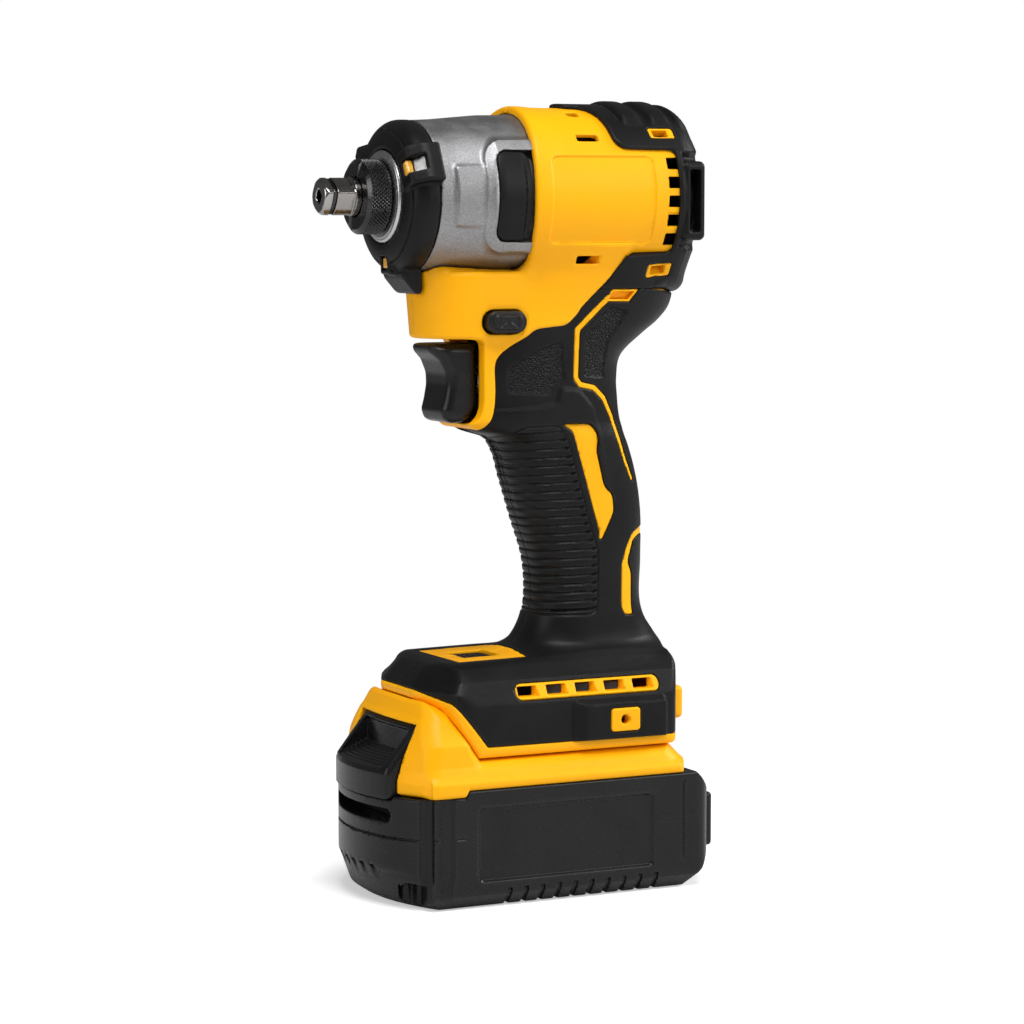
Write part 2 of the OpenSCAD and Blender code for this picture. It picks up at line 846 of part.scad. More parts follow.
module ring_gear() {
  color(steel) on_axis(seat_gap) difference() {
    cylinder(h = ring_len - seat_gap, r = ring_r);
    translate([0, 0, -1]) linear_extrude(height = ring_len + 2)
      rotate(180 / ring_teeth)
        polygon(gear_outline(ring_teeth, ring_root_r, gear_module * (ring_teeth / 2 - 1), -backlash / 2));
  }
}

// Axis of a planet gear, from x
module at_planet(k, x) { on_axis(x) rotate(k * 360 / planet_count) translate([orbit_r, 0, 0]) children(); }

module planet_gear(k) {
  color(steel) at_planet(k, 0.6) difference() {
    linear_extrude(height = gear_face) rotate(180 / planet_teeth) polygon(spur_outline(planet_teeth));
    translate([0, 0, -1]) cylinder(h = gear_face + 2, r = pin_r + shaft_fit);
  }
}

module planet_gear_1() { planet_gear(0); }

module planet_gear_2() { planet_gear(1); }

module planet_gear_3() { planet_gear(2); }

module planet_pins() {
  color(steel) for (k = [0:planet_count - 1])
    at_planet(k, 0.7) cylinder(h = carrier_front - 0.8, r = pin_r);
}

ball_x = 21;
pilot_r = 3.95;
pilot_len = 5;

module cam_carrier() {
  color(steel) difference() {
    union() {
      rod(carrier_back, carrier_front, orbit_r + pin_r + 3);
      rod(carrier_back, hammer_front + 0.9, cam_r);
      rod(hammer_front, hub_back + pilot_len, pilot_r);
    }
    for (k = [0:planet_count - 1])
      at_planet(k, carrier_back - 1) cylinder(h = carrier_t + 2, r = pin_r + 0.01);
    for (m = [1, -1]) translate([ball_x, 0, axis_z + m * cam_r]) sphere(r = ball_r + seat_gap);
  }
}

module cam_balls() {
  color("#C9CCD0") for (m = [1, -1]) translate([ball_x, 0, axis_z + m * cam_r]) sphere(r = ball_r);
}

spring_seat_r = hammer_r - 3.8;
spring_floor = 25;

module hammer() {
  boss_back = carrier_front + hammer_travel + 0.8;
  color(steel) difference() {
    union() {
      turned([
        [cam_r + 0.08, boss_back], [10, boss_back], [10, spring_floor], [spring_seat_r, spring_floor],
        [spring_seat_r, hammer_back], [hammer_r, hammer_back], [hammer_r, hammer_front],
        [cam_r + 0.08, hammer_front]
      ]);
      intersection() {
        tube(hammer_front - 1, hammer_front + lug_len, hammer_r - 0.2, 10.5);
        block([0, -6, axis_z - 40], [60, 6, axis_z + 40]);
      }
    }
    // Cam grooves, long enough for the hammer's travel
    for (m = [1, -1])
      translate([boss_back - 1, 0, axis_z + m * cam_r]) rotate([0, 90, 0])
        cylinder(h = ball_x + hammer_travel + ball_r + 0.6 - boss_back + 1, r = ball_r + 0.15);
  }
}

module hammer_spring() {
  mean_r = (10 + spring_seat_r) / 2;
  color(steel) on_axis(carrier_front + 0.1)
    coil(mean_r, hammer_wire_r, spring_floor - carrier_front - 0.2, 3.5);
}

module anvil() {
  color("#5A5C60") difference() {
    union() {
      rod(hub_back, hub_front, 9.5);
      intersection() {
        rod(hub_back, hub_front, hammer_r - 0.5);
        block([0, -40, axis_z - 5], [80, 40, axis_z + 5]);
      }
      rod(hub_back, neck_x, anvil_r);
      rod(neck_x - 1, square_x + 1, neck_r);
      intersection() {
        turned([
          [0, square_x], [neck_r, square_x], [drive_corner_r, square_x + 1.2], [drive_corner_r, drive_x - 1.2],
          [drive_corner_r - 1.4, drive_x], [0, drive_x]
        ]);
        translate([square_x, -drive_af / 2, axis_z - drive_af / 2]) cube([drive_x, drive_af, drive_af]);
      }
    }
    rod(hub_back - 1, hub_back + pilot_len + 0.6, pilot_r + 0.05);
    tube(clip_x - 0.05, clip_x + clip_t + 0.05, anvil_r + 5, clip_groove_r);
    tube(groove_x, groove_x + groove_t, drive_af, drive_groove_r);
    rod(drive_x - 8, drive_x + 1, drive_hole_r);
  }
}

module friction_ring() {
  color("#1E1E1E")
    tube(groove_x + 0.1, groove_x + groove_t - 0.1, drive_corner_r + 0.05, drive_groove_r + 0.02);
}

module anvil_washer() {
  color(steel) tube(hub_front + 0.1, hub_front + 0.1 + washer_t, bush_r + 3, anvil_r + 0.1);
}

module anvil_bush() { color("#B08D57") tube(wall_x + 0.1, nose_x - 0.4, bush_r, anvil_r + shaft_fit); }

module lock_sleeve() {
  x0 = sleeve_back;
  x1 = sleeve_front;
  lip_r = neck_r + 0.08;
  bore_r = sleeve_r - 2.9;
  color("#232323") turned([
    [anvil_r + 0.6, x0], [sleeve_r - 0.5, x0], [sleeve_r, x0 + 0.5], [sleeve_r, x1 - 1], [sleeve_r - 1, x1],
    [bore_r, x1], [bore_r, lip_back + lip_t], [lip_r, lip_back + lip_t], [lip_r, lip_back],
    [anvil_r + 0.6, lip_back]
  ]);
}

module sleeve_spring() {
  color(steel) on_axis(lip_back + lip_t + 0.1)
    coil(neck_r + 0.9, 0.4, clip_x - lip_back - lip_t - 0.2, 2.5);
}

module sleeve_clip() { color(steel) tube(clip_x, clip_x + clip_t, sleeve_r - 3.3, clip_groove_r + 0.03); }

// Motor

module stator() {
  color("#6E7075") difference() {
    union() {
      tube(stator_back, stator_front, stator_r, yoke_r);
      for (k = [0:coil_count - 1])
        rotate_on_axis(k * 360 / coil_count) {
          block([stator_back, -2.5, tooth_r + 0.5], [stator_front, 2.5, yoke_r + 1]);
          block([stator_back, -5, tooth_r - 1], [stator_front, 5, tooth_r + 2]);
        }
    }
    rod(stator_back - 1, stator_front + 1, tooth_r);
  }
}

module windings() {
  inner = tooth_r + 2.2;
  outer = yoke_r - 0.9;
  color("#B87333") for (k = [0:coil_count - 1])
    rotate_on_axis(k * 360 / coil_count) difference() {
      block([stator_back - coil_over, -5.6, inner], [stator_front + coil_over, 5.6, outer]);
      block([stator_back - 0.1, -2.6, inner - 1], [stator_front + 0.1, 2.6, outer + 1]);
    }
}

module sensor_board() {
  color("#2E6B3A") tube(board_front - board_t, board_front, screw_ring_r - 3.2, bearing_r + 2);
}

module rotor_shaft() {
  color(steel) {
    union() {
      rod(rear_bearing_x + seat_gap, 1, shaft_r);
      on_axis(0.6) linear_extrude(height = gear_face) polygon(spur_outline(sun_teeth));
    }
  }
}

module rotor_core() {
  color("#77797E") tube(stator_back - 0.5, stator_front + 0.5, rotor_r - magnet_t, shaft_r);
}

module rotor_magnets() {
  color("#3A3C40") difference() {
    tube(stator_back - 0.5, stator_front + 0.5, rotor_r, rotor_r - magnet_t + 0.01);
    for (a = [0, 90]) rotate_on_axis(a) block([stator_back - 2, -0.6, -40], [stator_front + 2, 0.6, 40]);
  }
}

module fan() {
  x0 = fan_front - fan_len;
  color("#1F1F1F") difference() {
    union() {
      rod(fan_front - 1.5, fan_front, fan_r);
      rod(x0, fan_front, 6);
      for (k = [0:fan_blades - 1])
        rotate_on_axis(k * 360 / fan_blades) block([x0, -0.6, 5], [fan_front - 1, 0.6, fan_r - 0.5]);
    }
    rod(x0 - 1, fan_front + 1, shaft_r);
  }
}

// Trigger, switch and buttons

module trigger() {
  mid = (trigger_top + trigger_low) / 2;
  front = 37.5;
  corner = 4;
  color(black) {
    difference() {
      intersection() {
        plate([
          [trigger_back, trigger_low + 1], [trigger_back + 1, trigger_low], [front - 4.5, trigger_low],
          [front - 2.4, trigger_low + 2], [front - 2.2, trigger_low + 5], [front, trigger_top - 2.5],
          [front - 1.5, trigger_top], [trigger_back, trigger_top]
        ], trigger_half);
        translate([0, 0, trigger_low - 1]) linear_extrude(height = 30)
          union() {
            translate([trigger_back - 1, -trigger_half])
              square([front - trigger_back + 1 - corner, 2 * trigger_half]);
            translate([trigger_back, corner - trigger_half])
              square([front - trigger_back + 2, 2 * (trigger_half - corner)]);
            for (m = [1, -1]) translate([front - corner, m * (trigger_half - corner)]) circle(r = corner);
          }
      }
      translate([front + 26, 0, mid - 1]) rotate([90, 0, 0]) cylinder(h = 60, r = 29.5, center = true);
      translate([trigger_back - 1, 0, plunger_z]) rotate([0, 90, 0]) cylinder(h = spring_pocket + 1, r = 6);
    }
    translate([trigger_back - plunger_len, 0, plunger_z]) rotate([0, 90, 0])
      cylinder(h = plunger_len + spring_pocket + 1, r = plunger_r);
  }
}

module trigger_spring() {
  color(steel) translate([switch_front + 0.1, 0, plunger_z]) rotate([0, 90, 0])
    coil(plunger_r + 1.3, 0.5, trigger_back + spring_pocket - switch_front - 0.2, 5);
}

module switch_body() {
  color("#1D1D1F") difference() {
    block([switch_back, -cavity_half + 0.1, cavity_low + 0.2],
          [switch_front, cavity_half - 0.1, cavity_top - 0.2]);
    translate([trigger_back - plunger_len - trigger_travel - 1, 0, plunger_z]) rotate([0, 90, 0])
      cylinder(h = 60, r = plunger_r + 0.08);
  }
}

// Bar with round ends, from one side of the housing to the other
module button_shape(half, grow) {
  r = button_h / 2;
  translate([button_x, half, button_z]) rotate([90, 0, 0]) linear_extrude(height = 2 * half)
    union() {
      for (m = [1, -1]) translate([m * (button_len / 2 - r), 0]) circle(r = r + grow);
      square([button_len - 2 * r, 2 * (r + grow)], center = true);
    }
}

module direction_button() { color(black) button_shape(button_half, 0); }

module speed_selector() {
  color(black) difference() {
    block([selector_x - selector_len / 2, -selector_w / 2, selector_low],
          [selector_x + selector_len / 2, selector_w / 2, selector_top]);
    for (x = [-3, 0, 3])
      across(selector_x + x, selector_top, 2 - selector_w / 2, selector_w / 2 - 2, 0.5);
  }
}

// Electronics in the foot

module control_board() {
  color("#2E6B3A") block([-30, -26, board_z + seat_gap], [33, 26, board_z + 1.6]);
}

module heat_sink() {
  low = board_z + 1.6 + seat_gap;
  color(cast) difference() {
    block([-28, -20, low], [6, 20, low + 5]);
    for (k = [-3:3]) block([-29, k * 5 - 1, low + 2], [7, k * 5 + 1, low + 6]);
  }
}

module terminal_block() {
  color("#1D1D1F") block([channel_back - 10, -16, foot_z + 4.4], [channel_back, 16, rail_top_z + 3.8]);
}

module terminal_blades() {
  color("#C8A25A") for (y = blade_ys)
    block([channel_back, y - blade_t / 2, rail_neck_z + 0.6],
          [channel_back + blade_len, y + blade_t / 2, rail_top_z - 0.6]);
}

module hook_inserts() {
  color("#C8A25A") for (m = [1, -1])
    difference() {
      hook_bar(m, foot_half - hook_depth, foot_half + 0.4, hook_hole_r + 2);
      hook_bar(m, foot_half - hook_depth + 1, foot_half + 1, hook_hole_r);
    }
}

// Battery pack

// Plan of the pack, with a bulging front
module pack_plan(inset) {
  half = pack_half - inset;
  union() {
    polygon([
      [pack_back + inset + 4, -half], [pack_front - 22, -half], [pack_front - 22, half],
      [pack_back + inset + 4, half], [pack_back + inset, half - 5], [pack_back + inset, 5 - half]
    ]);
    intersection() {
      translate([pack_front - bulge_r, 0]) circle(r = bulge_r - inset);
      translate([0, -half]) square([100, 2 * half]);
    }
  }
}

// Space for the cells, between two heights
module cell_room(low, high) {
  block([-cells_end, -cell_len / 2 - 0.4, low], [cells_end, cell_len / 2 + 0.4, high]);
}

module pack_lower_shell() {
  color(black) difference() {
    intersection() {
      linear_extrude(height = pack_split) pack_plan(0);
      slab(both_sides([
        [pack_half - 4.5, 0], [pack_half - 1, 5], [pack_half, 18], [pack_half, pack_split + 1]
      ]), -80, 80);
      plate([
        [pack_back + 6, 0], [pack_back + 1.5, 6], [pack_back, 11], [pack_back, pack_split],
        [ramp_x1, pack_split], [ramp_x1 + 2.5, front_split], [80, front_split], [80, 30],
        [pack_front, 12], [pack_front - 4, 3], [pack_front - 9, 0]
      ], pack_half + 1);
    }
    cell_room(pack_wall, pack_split + 1);
    for (s = screw_spots) {
      translate([s[0], s[1], 3]) cylinder(h = pack_split, r = pack_screw_r + seat_gap);
      translate([s[0], s[1], -1]) cylinder(h = pack_screw_z + 1, r = pack_screw_head_r + 0.1);
    }
    latch_space(latch_room);
  }
}

// Side outline of the release latch
function latch_outline(back, gap) = [
  [latch_low_x + gap, latch_low - gap], [latch_top_x + gap, latch_top + gap],
  [latch_top_x - latch_t - back, latch_top + gap], [latch_low_x - latch_t - back, latch_low - gap]
];

module latch_space(back) {
  half = latch_half + run_gap;
  plate(latch_outline(back, run_gap), half);
  // Room in front, so that the whole face of the latch is open
  plate([
    [latch_low_x, latch_low - run_gap], [latch_top_x, latch_top + run_gap],
    [latch_top_x + 30, latch_top + run_gap], [latch_low_x + 30, latch_low - run_gap]
  ], half);
}

module pack_upper_shell() {
  hump = [
    [ramp_x0, pack_top], [ramp_x1, ramp_z1 - hump_gap],
    [foot_front, lip_z - hump_gap], [foot_front + 2.5, lip_z - 1.5], [pack_front, pack_split - 3]
  ];
  color(yellow) difference() {
    union() {
      intersection() {
        translate([0, 0, pack_split - 4]) linear_extrude(height = 60) pack_plan(0);
        plate(concat(
          [[80, front_split + seat_gap], [ramp_x1 + 2.5, front_split + seat_gap],
           [ramp_x1, pack_split + seat_gap], [pack_back, pack_split + seat_gap],
           [pack_back, pack_top - 3], [pack_back + 3, pack_top]],
          hump), pack_half + 1);
        slab(both_sides([
          [pack_half, pack_split - 5], [pack_half, pack_top - 3], [pack_half - 3, pack_top + 4],
          [15, lip_z - 2], [9, lip_z + 4]
        ]), -80, 80);
      }
      rail_form(0, rail_back, rail_front);
      for (s = screw_spots)
        if (s[0] > 0) translate([s[0], s[1], front_split + seat_gap]) cylinder(h = 8, r = 3);
    }
    cell_room(pack_split - 5, pack_top - pack_wall);
    for (y = blade_ys)
      block([rail_back - 1, y - blade_slot / 2, rail_neck_z],
            [channel_back + blade_len + 3, y + blade_slot / 2, rail_top_z + 1]);
    for (s = screw_spots)
      translate([s[0], s[1], 3]) cylinder(h = pack_screw_z + pack_screw_len - 2, r = pack_screw_r + seat_gap);
    latch_space(latch_room);
  }
}

// Bars in the places of the cells
module cell_bars(half, r) {
  for (i = [0:cell_columns - 1]) for (k = [0:cell_rows - 1])
    across((i - (cell_columns - 1) / 2) * cell_pitch, cell_floor + (k + 0.5) * cell_pitch, -half, half, r);
}

module cells() {
  color("#3E7C6A") cell_bars(cell_len / 2, cell_r);
}

module cell_holder() {
  color("#2A2A2C") for (m = [1, -1]) difference() {
    block([-cells_end + 0.2, m * 22 - 2, pack_wall + seat_gap], [cells_end - 0.2, m * 22 + 2, cells_top + 1]);
    cell_bars(cell_len / 2 + 1, cell_r + seat_gap);
  }
}

module pack_board() {
  color("#2E6B3A") block([-42, -25, cells_top + 1 + seat_gap], [38, 25, cells_top + 2.6]);
}

module pack_terminals() {
  color("#C8A25A") for (y = blade_ys) for (m = [1, -1])
    block([rail_back + 2, y + m * contact_y - contact_t / 2, rail_neck_z + 0.2],
          [channel_back + blade_len + 2, y + m * contact_y + contact_t / 2, rail_top_z - 0.8]);
}

module pack_screws() {
  color(steel) for (s = screw_spots)
    translate([s[0], s[1], pack_screw_z]) screw_along(pack_screw_len, pack_screw_r, pack_screw_head_r, 1.6);
}

module release_latch() {
  color(black) difference() {
    plate(latch_outline(0, 0), latch_half);
    // Finger recess
    translate([(latch_low_x + latch_top_x) / 2 + 6, 0, (latch_low + latch_top) / 2 + 7])
      rotate([90, 0, 0]) cylinder(h = 2 * latch_half - 8, r = 9, center = true);
  }
}

module latch_spring() {
  z = cells_top + 6;
  k = (z - latch_low) / (latch_top - latch_low);
  x = latch_low_x + (latch_top_x - latch_low_x) * k - latch_t;
  color(steel) translate([x - latch_travel - 1, 0, z]) rotate([0, 90, 0]) coil(2, 0.4, latch_travel + 0.4, 2);
}

housing_left();
housing_right();
grip_skin_left();
grip_skin_right();
rear_cap();
rear_bumper();
gear_case();
nose_boot();
lamp_lenses();
lamp_board();
side_pads();
gear_case_screws();
housing_screws();
bearing_plate();
front_bearing();
rear_bearing();
ring_gear();
anvil_bush();
anvil_washer();
stator();
windings();
sensor_board();
rotor_shaft();
rotor_core();
rotor_magnets();
fan();
cam_carrier();
planet_pins();
planet_gear_1();
planet_gear_2();
planet_gear_3();
cam_balls();
hammer();
hammer_spring();
anvil();
friction_ring();
lock_sleeve();
sleeve_spring();
sleeve_clip();
trigger();
trigger_spring();
switch_body();
direction_button();
speed_selector();
control_board();
heat_sink();
terminal_block();
terminal_blades();
hook_inserts();
pack_lower_shell();
pack_upper_shell();
cells();
cell_holder();
pack_board();
pack_terminals();
pack_screws();
release_latch();
latch_spring();
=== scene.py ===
"""Looks of the cordless impact driver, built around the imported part.

Lengths inside the shapes are millimetres in the part's own frame: +X out of the drive, +Z up.
Each shell is a signed distance field, negative inside, which is meshed on a grid and drawn onto its surface.
"""
import functools
import json
import math
from concurrent.futures import ThreadPoolExecutor

import bpy
import numpy as np
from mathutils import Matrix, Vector


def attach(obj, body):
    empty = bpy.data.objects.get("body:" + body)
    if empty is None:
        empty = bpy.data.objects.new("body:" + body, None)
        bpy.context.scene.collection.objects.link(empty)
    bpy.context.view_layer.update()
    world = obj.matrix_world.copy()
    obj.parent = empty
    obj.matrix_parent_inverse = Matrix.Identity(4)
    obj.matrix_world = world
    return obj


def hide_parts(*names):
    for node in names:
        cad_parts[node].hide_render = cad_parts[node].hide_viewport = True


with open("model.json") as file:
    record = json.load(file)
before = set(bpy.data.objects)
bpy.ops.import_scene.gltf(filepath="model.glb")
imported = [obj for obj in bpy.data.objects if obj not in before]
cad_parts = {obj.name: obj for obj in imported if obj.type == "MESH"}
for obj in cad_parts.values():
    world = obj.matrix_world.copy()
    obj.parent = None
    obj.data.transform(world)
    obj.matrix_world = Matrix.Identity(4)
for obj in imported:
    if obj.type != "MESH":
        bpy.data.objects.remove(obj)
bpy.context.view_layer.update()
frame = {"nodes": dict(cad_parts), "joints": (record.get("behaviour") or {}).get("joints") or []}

MM = 0.001
COARSE = 1.0
CHUNK = 40000
THREADS = ThreadPoolExecutor(4)

# Driving sizes

AXIS_Z = next(j for j in frame["joints"] if j["name"] == "anvil_spin")["pos_m"][2] / MM
SKIN_T = 1.4
GAP = 0.12
HEAD_R = 29.6
ARC_R = 30.0
HEAD_FRONT = 9.2
HEAD_BACK = -46.0
HEAD_BORE_R = 27.6
BOOT_T = 1.5
CASE_R = 27.1
NOSE_R = 15.2
NOSE_X = 52.6
FOOT_HALF = 32.5
PACK_HALF = 35.5
PACK_BACK = -55.4
PACK_FRONT = 63.0
PACK_BULGE_R = 58.0
PACK_SPLIT = 39.6
FRONT_SPLIT = 37.4
PACK_TOP = 48.7
LATCH_HALF = 21.2

# Handle sections: height, front, back and half width
HANDLE = np.array([
    (76.0, 10.5, -50.2, 21.5),
    (81.0, 5.0, -50.0, 18.8),
    (85.0, 1.6, -47.6, 17.4),
    (90.0, -1.2, -44.2, 16.8),
    (95.5, -2.6, -42.4, 16.6),
    (110.0, -2.0, -42.6, 16.6),
    (126.0, 3.2, -42.7, 16.8),
    (138.0, 6.6, -41.0, 17.0),
    (149.0, 10.0, -37.8, 17.0),
    (153.0, 13.5, -36.2, 17.1),
    (155.5, 21.0, -35.6, 17.2),
    (157.5, 24.6, -35.0, 17.2),
    (160.5, 26.0, -34.4, 17.3),
    (166.0, 26.4, -33.8, 17.4),
    (172.0, 27.0, -33.5, 17.5),
    (180.0, 27.2, -35.3, 17.8),
    (187.0, 28.0, -43.6, 18.3),
    (191.0, 24.5, -49.0, 18.7),
    (196.0, 20.0, -53.4, 19.2),
    (206.0, 12.0, -54.6, 21.4),
    (217.0, 9.5, -53.6, 24.0),
])

# Outlines: x and height from the side, y and height across, x and y in plan
FRONT_REGION = [
    (60, 154.4), (27, 154.6), (21.6, 156.0), (18.6, 159.6), (17.6, 164.4), (17.4, 170), (17.8, 176.6),
    (17.0, 179.8), (4.6, 190.0), (-7.2, 190.6), (-22.4, 206.2), (-27.0, 213.6), (-27.0, 240), (60, 240),
]
TRIGGER_WINDOW = [(70, 186), (21.6, 186), (21.6, 163.6), (23.0, 159.8), (26.0, 157.7), (70, 157.5)]
ACCENT = [
    (-22.4, 199.2), (-11.6, 188.9), (-11.7, 172.4), (-13.4, 170.4), (-19.0, 169.2), (-23.4, 165.6),
    (-27.2, 159.2), (-29.6, 152.0), (-32.2, 144.0), (-35.2, 137.6),
]
ACCENT_WINDOW = [(-23.6, 202.3), (-34.4, 202.2), (-30.9, 197.8), (-21.2, 198.0)]
GRIP_BADGE = [
    (-6.0, 157.5), (-17.2, 157.3), (-19.9, 154.6), (-20.6, 151.0), (-19.8, 148.3), (-22.8, 135.8),
    (-26.0, 133.2), (-26.8, 127.4), (-22.0, 117.7), (-20.6, 118.0), (-21.0, 120.0), (-10.5, 154.5),
]
REAR_BADGE = [
    (-44.0, 121.3), (-38.6, 120.9), (-34.8, 119.5), (-32.0, 115.2), (-29.8, 109.0), (-29.7, 94.5),
    (-31.2, 91.6), (-35.0, 91.4), (-34.4, 94.4), (-34.4, 105.8), (-33.2, 108.4), (-32.6, 110.0),
    (-35.2, 117.0), (-38.4, 118.4), (-44.0, 118.6),
]
RIB_PANEL = [
    (17.0, 151.2), (7.0, 156.6), (-5.2, 156.8), (-8.8, 152.0), (-18.8, 119.0), (-20.4, 115.8), (-20.6, 112.6),
    (-20.4, 94.6), (-18.2, 92.6), (8.0, 92.6), (10.0, 112.0), (14.0, 128.0),
]
RAISED_ZONE = [
    (24, 162.0), (2.0, 163.2), (-4.4, 164.6), (-5.8, 169.4), (-12.6, 168.6), (-18.4, 162.8), (-21.6, 154.0),
    (-24.0, 140.0), (-28.0, 124.0), (10.0, 124.0), (24.0, 150.0),
]
PEBBLE_FRONT = [(13.2, 176.4), (3.0, 182.4), (-6.1, 185.4), (-7.0, 172.8), (-1.6, 167.6), (13.0, 167.8)]
PEBBLE_REAR = [(-22.8, 196.6), (-31.0, 195.0), (-24.3, 185.0), (-23.0, 172.2), (-14.6, 173.2), (-14.6, 186.5)]
TRIGGER = [
    (21.2, 163.8), (23.2, 160.4), (26.2, 158.4), (30.4, 158.1), (32.8, 159.2), (34.0, 162.2), (32.8, 166.4),
    (32.0, 170.6), (32.2, 174.6), (34.2, 179.0), (37.6, 182.0), (37.8, 183.9), (36.4, 184.5), (21.2, 184.5),
]
FOOT_SIDE = [
    (-47, 49.3), (31.2, 49.3), (41.4, 65), (47.5, 68.4), (47.5, 70.4), (42.0, 77.8), (36.5, 79.7),
    (8.5, 80.5), (-45.2, 80.5), (-48, 72.5),
]
FOOT_ACROSS = [(-30, 40), (FOOT_HALF, 40), (FOOT_HALF, 66.5), (28.3, 74.2), (20.5, 80.6), (-30, 80.6)]
FOOT_PLAN = [
    (47.5, -30), (47.5, 11.5), (38.5, 30.6), (33, FOOT_HALF), (-40.5, FOOT_HALF), (-42.6, 31), (-48, 20.5),
    (-48, -30),
]
FOOT_RIM = [
    (-60, 44), (33.8, 44), (52, 62.5), (60, 66), (60, 71.6), (47.5, 71.4), (39.4, 67.4), (28.4, 53.0),
    (-60, 52.6),
]

# Corners of the yellow bump behind the foot
REAR_BUMP = ((-51.8, -20.3, 55.5), (-44, 20.3, 66.8))

# Rear and front screws of the pack: x and the way to each side
PACK_SCREWS = [(-49.5, 27.0), (54.0, 22.0)]

# Cover of the rear bumper, unrolled to x and the way round from the top
BUMPER_COVER = [
    (-70, -3), (-11.4, -3), (-11.8, 3.6), (-13.2, 5.6), (-17.4, 6.4), (-18.8, 8.4), (-20.6, 14), (-21.3, 20),
    (-21.6, 26.6), (-22.8, 29.2), (-25.2, 30.7), (-42.6, 31.0), (-43.8, 32.2), (-43.8, 65.8), (-42.6, 67.0),
    (-29.4, 67.2), (-27.0, 68.6), (-24.6, 72), (-22.8, 78), (-22, 86), (-22, 110), (-70, 110),
]

# Bumper: bumps, lower seam, rear end, profile, lower edge of its cover, lugs and windows
BUMPER_BUMPS = (-31.6, -42.4, -52.6)
BUMPER_SEAM_Z = 202.3
BUMPER_SEAM_DROP = 1.8
BUMPER_BACK = -57.4
BUMPER_X = [-58.2, -57.4, -56, -54, -52, -49.5, -47]
BUMPER_R = [19, 21.8, 24.6, 27.2, 29.2, 30.6, HEAD_R + BOOT_T]
COVER_LOW_Z = 213.4
LUG_Z = 231.6
WINDOW_ARCS = (24.5, 73.0)
WINDOW_X = (-45.4, -35.9)
WINDOW_HALF = 2.3

# Screw wells in the right half: x and height
CASE_SCREWS = [(33, 194.5), (-28, 191), (-24, 157), (-30, 107.5), (36, 74), (-41, 71)]
SCREW_SEAT_Y = 11.4
SCREW_WELL_R = 2.9


# Distance fields, on points given as rows of x, y and z

def join(a, b, r):
    """Union with a fillet."""
    ra = np.maximum(r - a, 0)
    rb = np.maximum(r - b, 0)
    return np.maximum(r, np.minimum(a, b)) - np.sqrt(ra * ra + rb * rb)


def meet(a, b, r):
    """Intersection with a rounded edge."""
    ra = np.maximum(r + a, 0)
    rb = np.maximum(r + b, 0)
    return np.minimum(-r, np.maximum(a, b)) + np.sqrt(ra * ra + rb * rb)


def cut(a, b, r=0.25):
    """First shape without the second, with a rounded edge."""
    return meet(a, -b, r)


def shared(*fields):
    """What all the fields share, with sharp edges."""
    return functools.reduce(np.maximum, fields)


def tube(r, inner, outer):
    """Ring between two radii."""
    return shared(r - outer, inner - r)


def length(u, v):
    """Length of a flat vector."""
    return np.sqrt(u * u + v * v)


def between(t, low, high):
    """Slab between two values."""
    return np.abs(t - (low + high) / 2) - (high - low) / 2


def box(p, low, high, r=0.0):
    """Box with rounded edges."""
    q = [between(c, a, b) + r for c, a, b in zip(p, low, high)]
    outside = np.sqrt(sum(np.maximum(c, 0) ** 2 for c in q))
    return outside + np.minimum(shared(*q), 0) - r


def rectangle(u, v, u0, u1, v0, v1, r):
    """Signed distance to a rectangle with round corners."""
    a = between(u, u0, u1) + r
    b = between(v, v0, v1) + r
    return length(np.maximum(a, 0), np.maximum(b, 0)) + np.minimum(np.maximum(a, b), 0) - r


def stroke(u, v, points):
    """Distance to an open line."""
    best = np.full(u.shape, 1e9)
    for (u0, v0), (u1, v1) in zip(points, points[1:]):
        du, dv = u1 - u0, v1 - v0
        t = np.clip(((u - u0) * du + (v - v0) * dv) / (du * du + dv * dv), 0, 1)
        best = np.minimum(best, (u - u0 - t * du) ** 2 + (v - v0 - t * dv) ** 2)
    return np.sqrt(best)


def outline(u, v, points):
    """Signed distance to a closed outline."""
    inside = np.zeros(u.shape, bool)
    for (u0, v0), (u1, v1) in zip(points, points[1:] + points[:1]):
        if v0 != v1:
            inside ^= ((v0 <= v) != (v1 <= v)) & (u < u0 + (v - v0) * (u1 - u0) / (v1 - v0))
    d = stroke(u, v, points + points[:1])
    return np.where(inside, -d, d)


def round_corners(points, r, steps=3):
    """Outline with its corners drawn as curves."""
    result = []
    for i, corner in enumerate(points):
        c = np.array(corner, float)
        ends = []
        for other in (points[i - 1], points[(i + 1) % len(points)]):
            way = np.array(other, float) - c
            size = np.hypot(*way)
            ends.append(c + way / size * min(r, size * 0.45))
        for k in range(steps + 1):
            t = k / steps
            q = (1 - t) ** 2 * ends[0] + 2 * t * (1 - t) * c + t * t * ends[1]
            result.append((float(q[0]), float(q[1])))
    return result


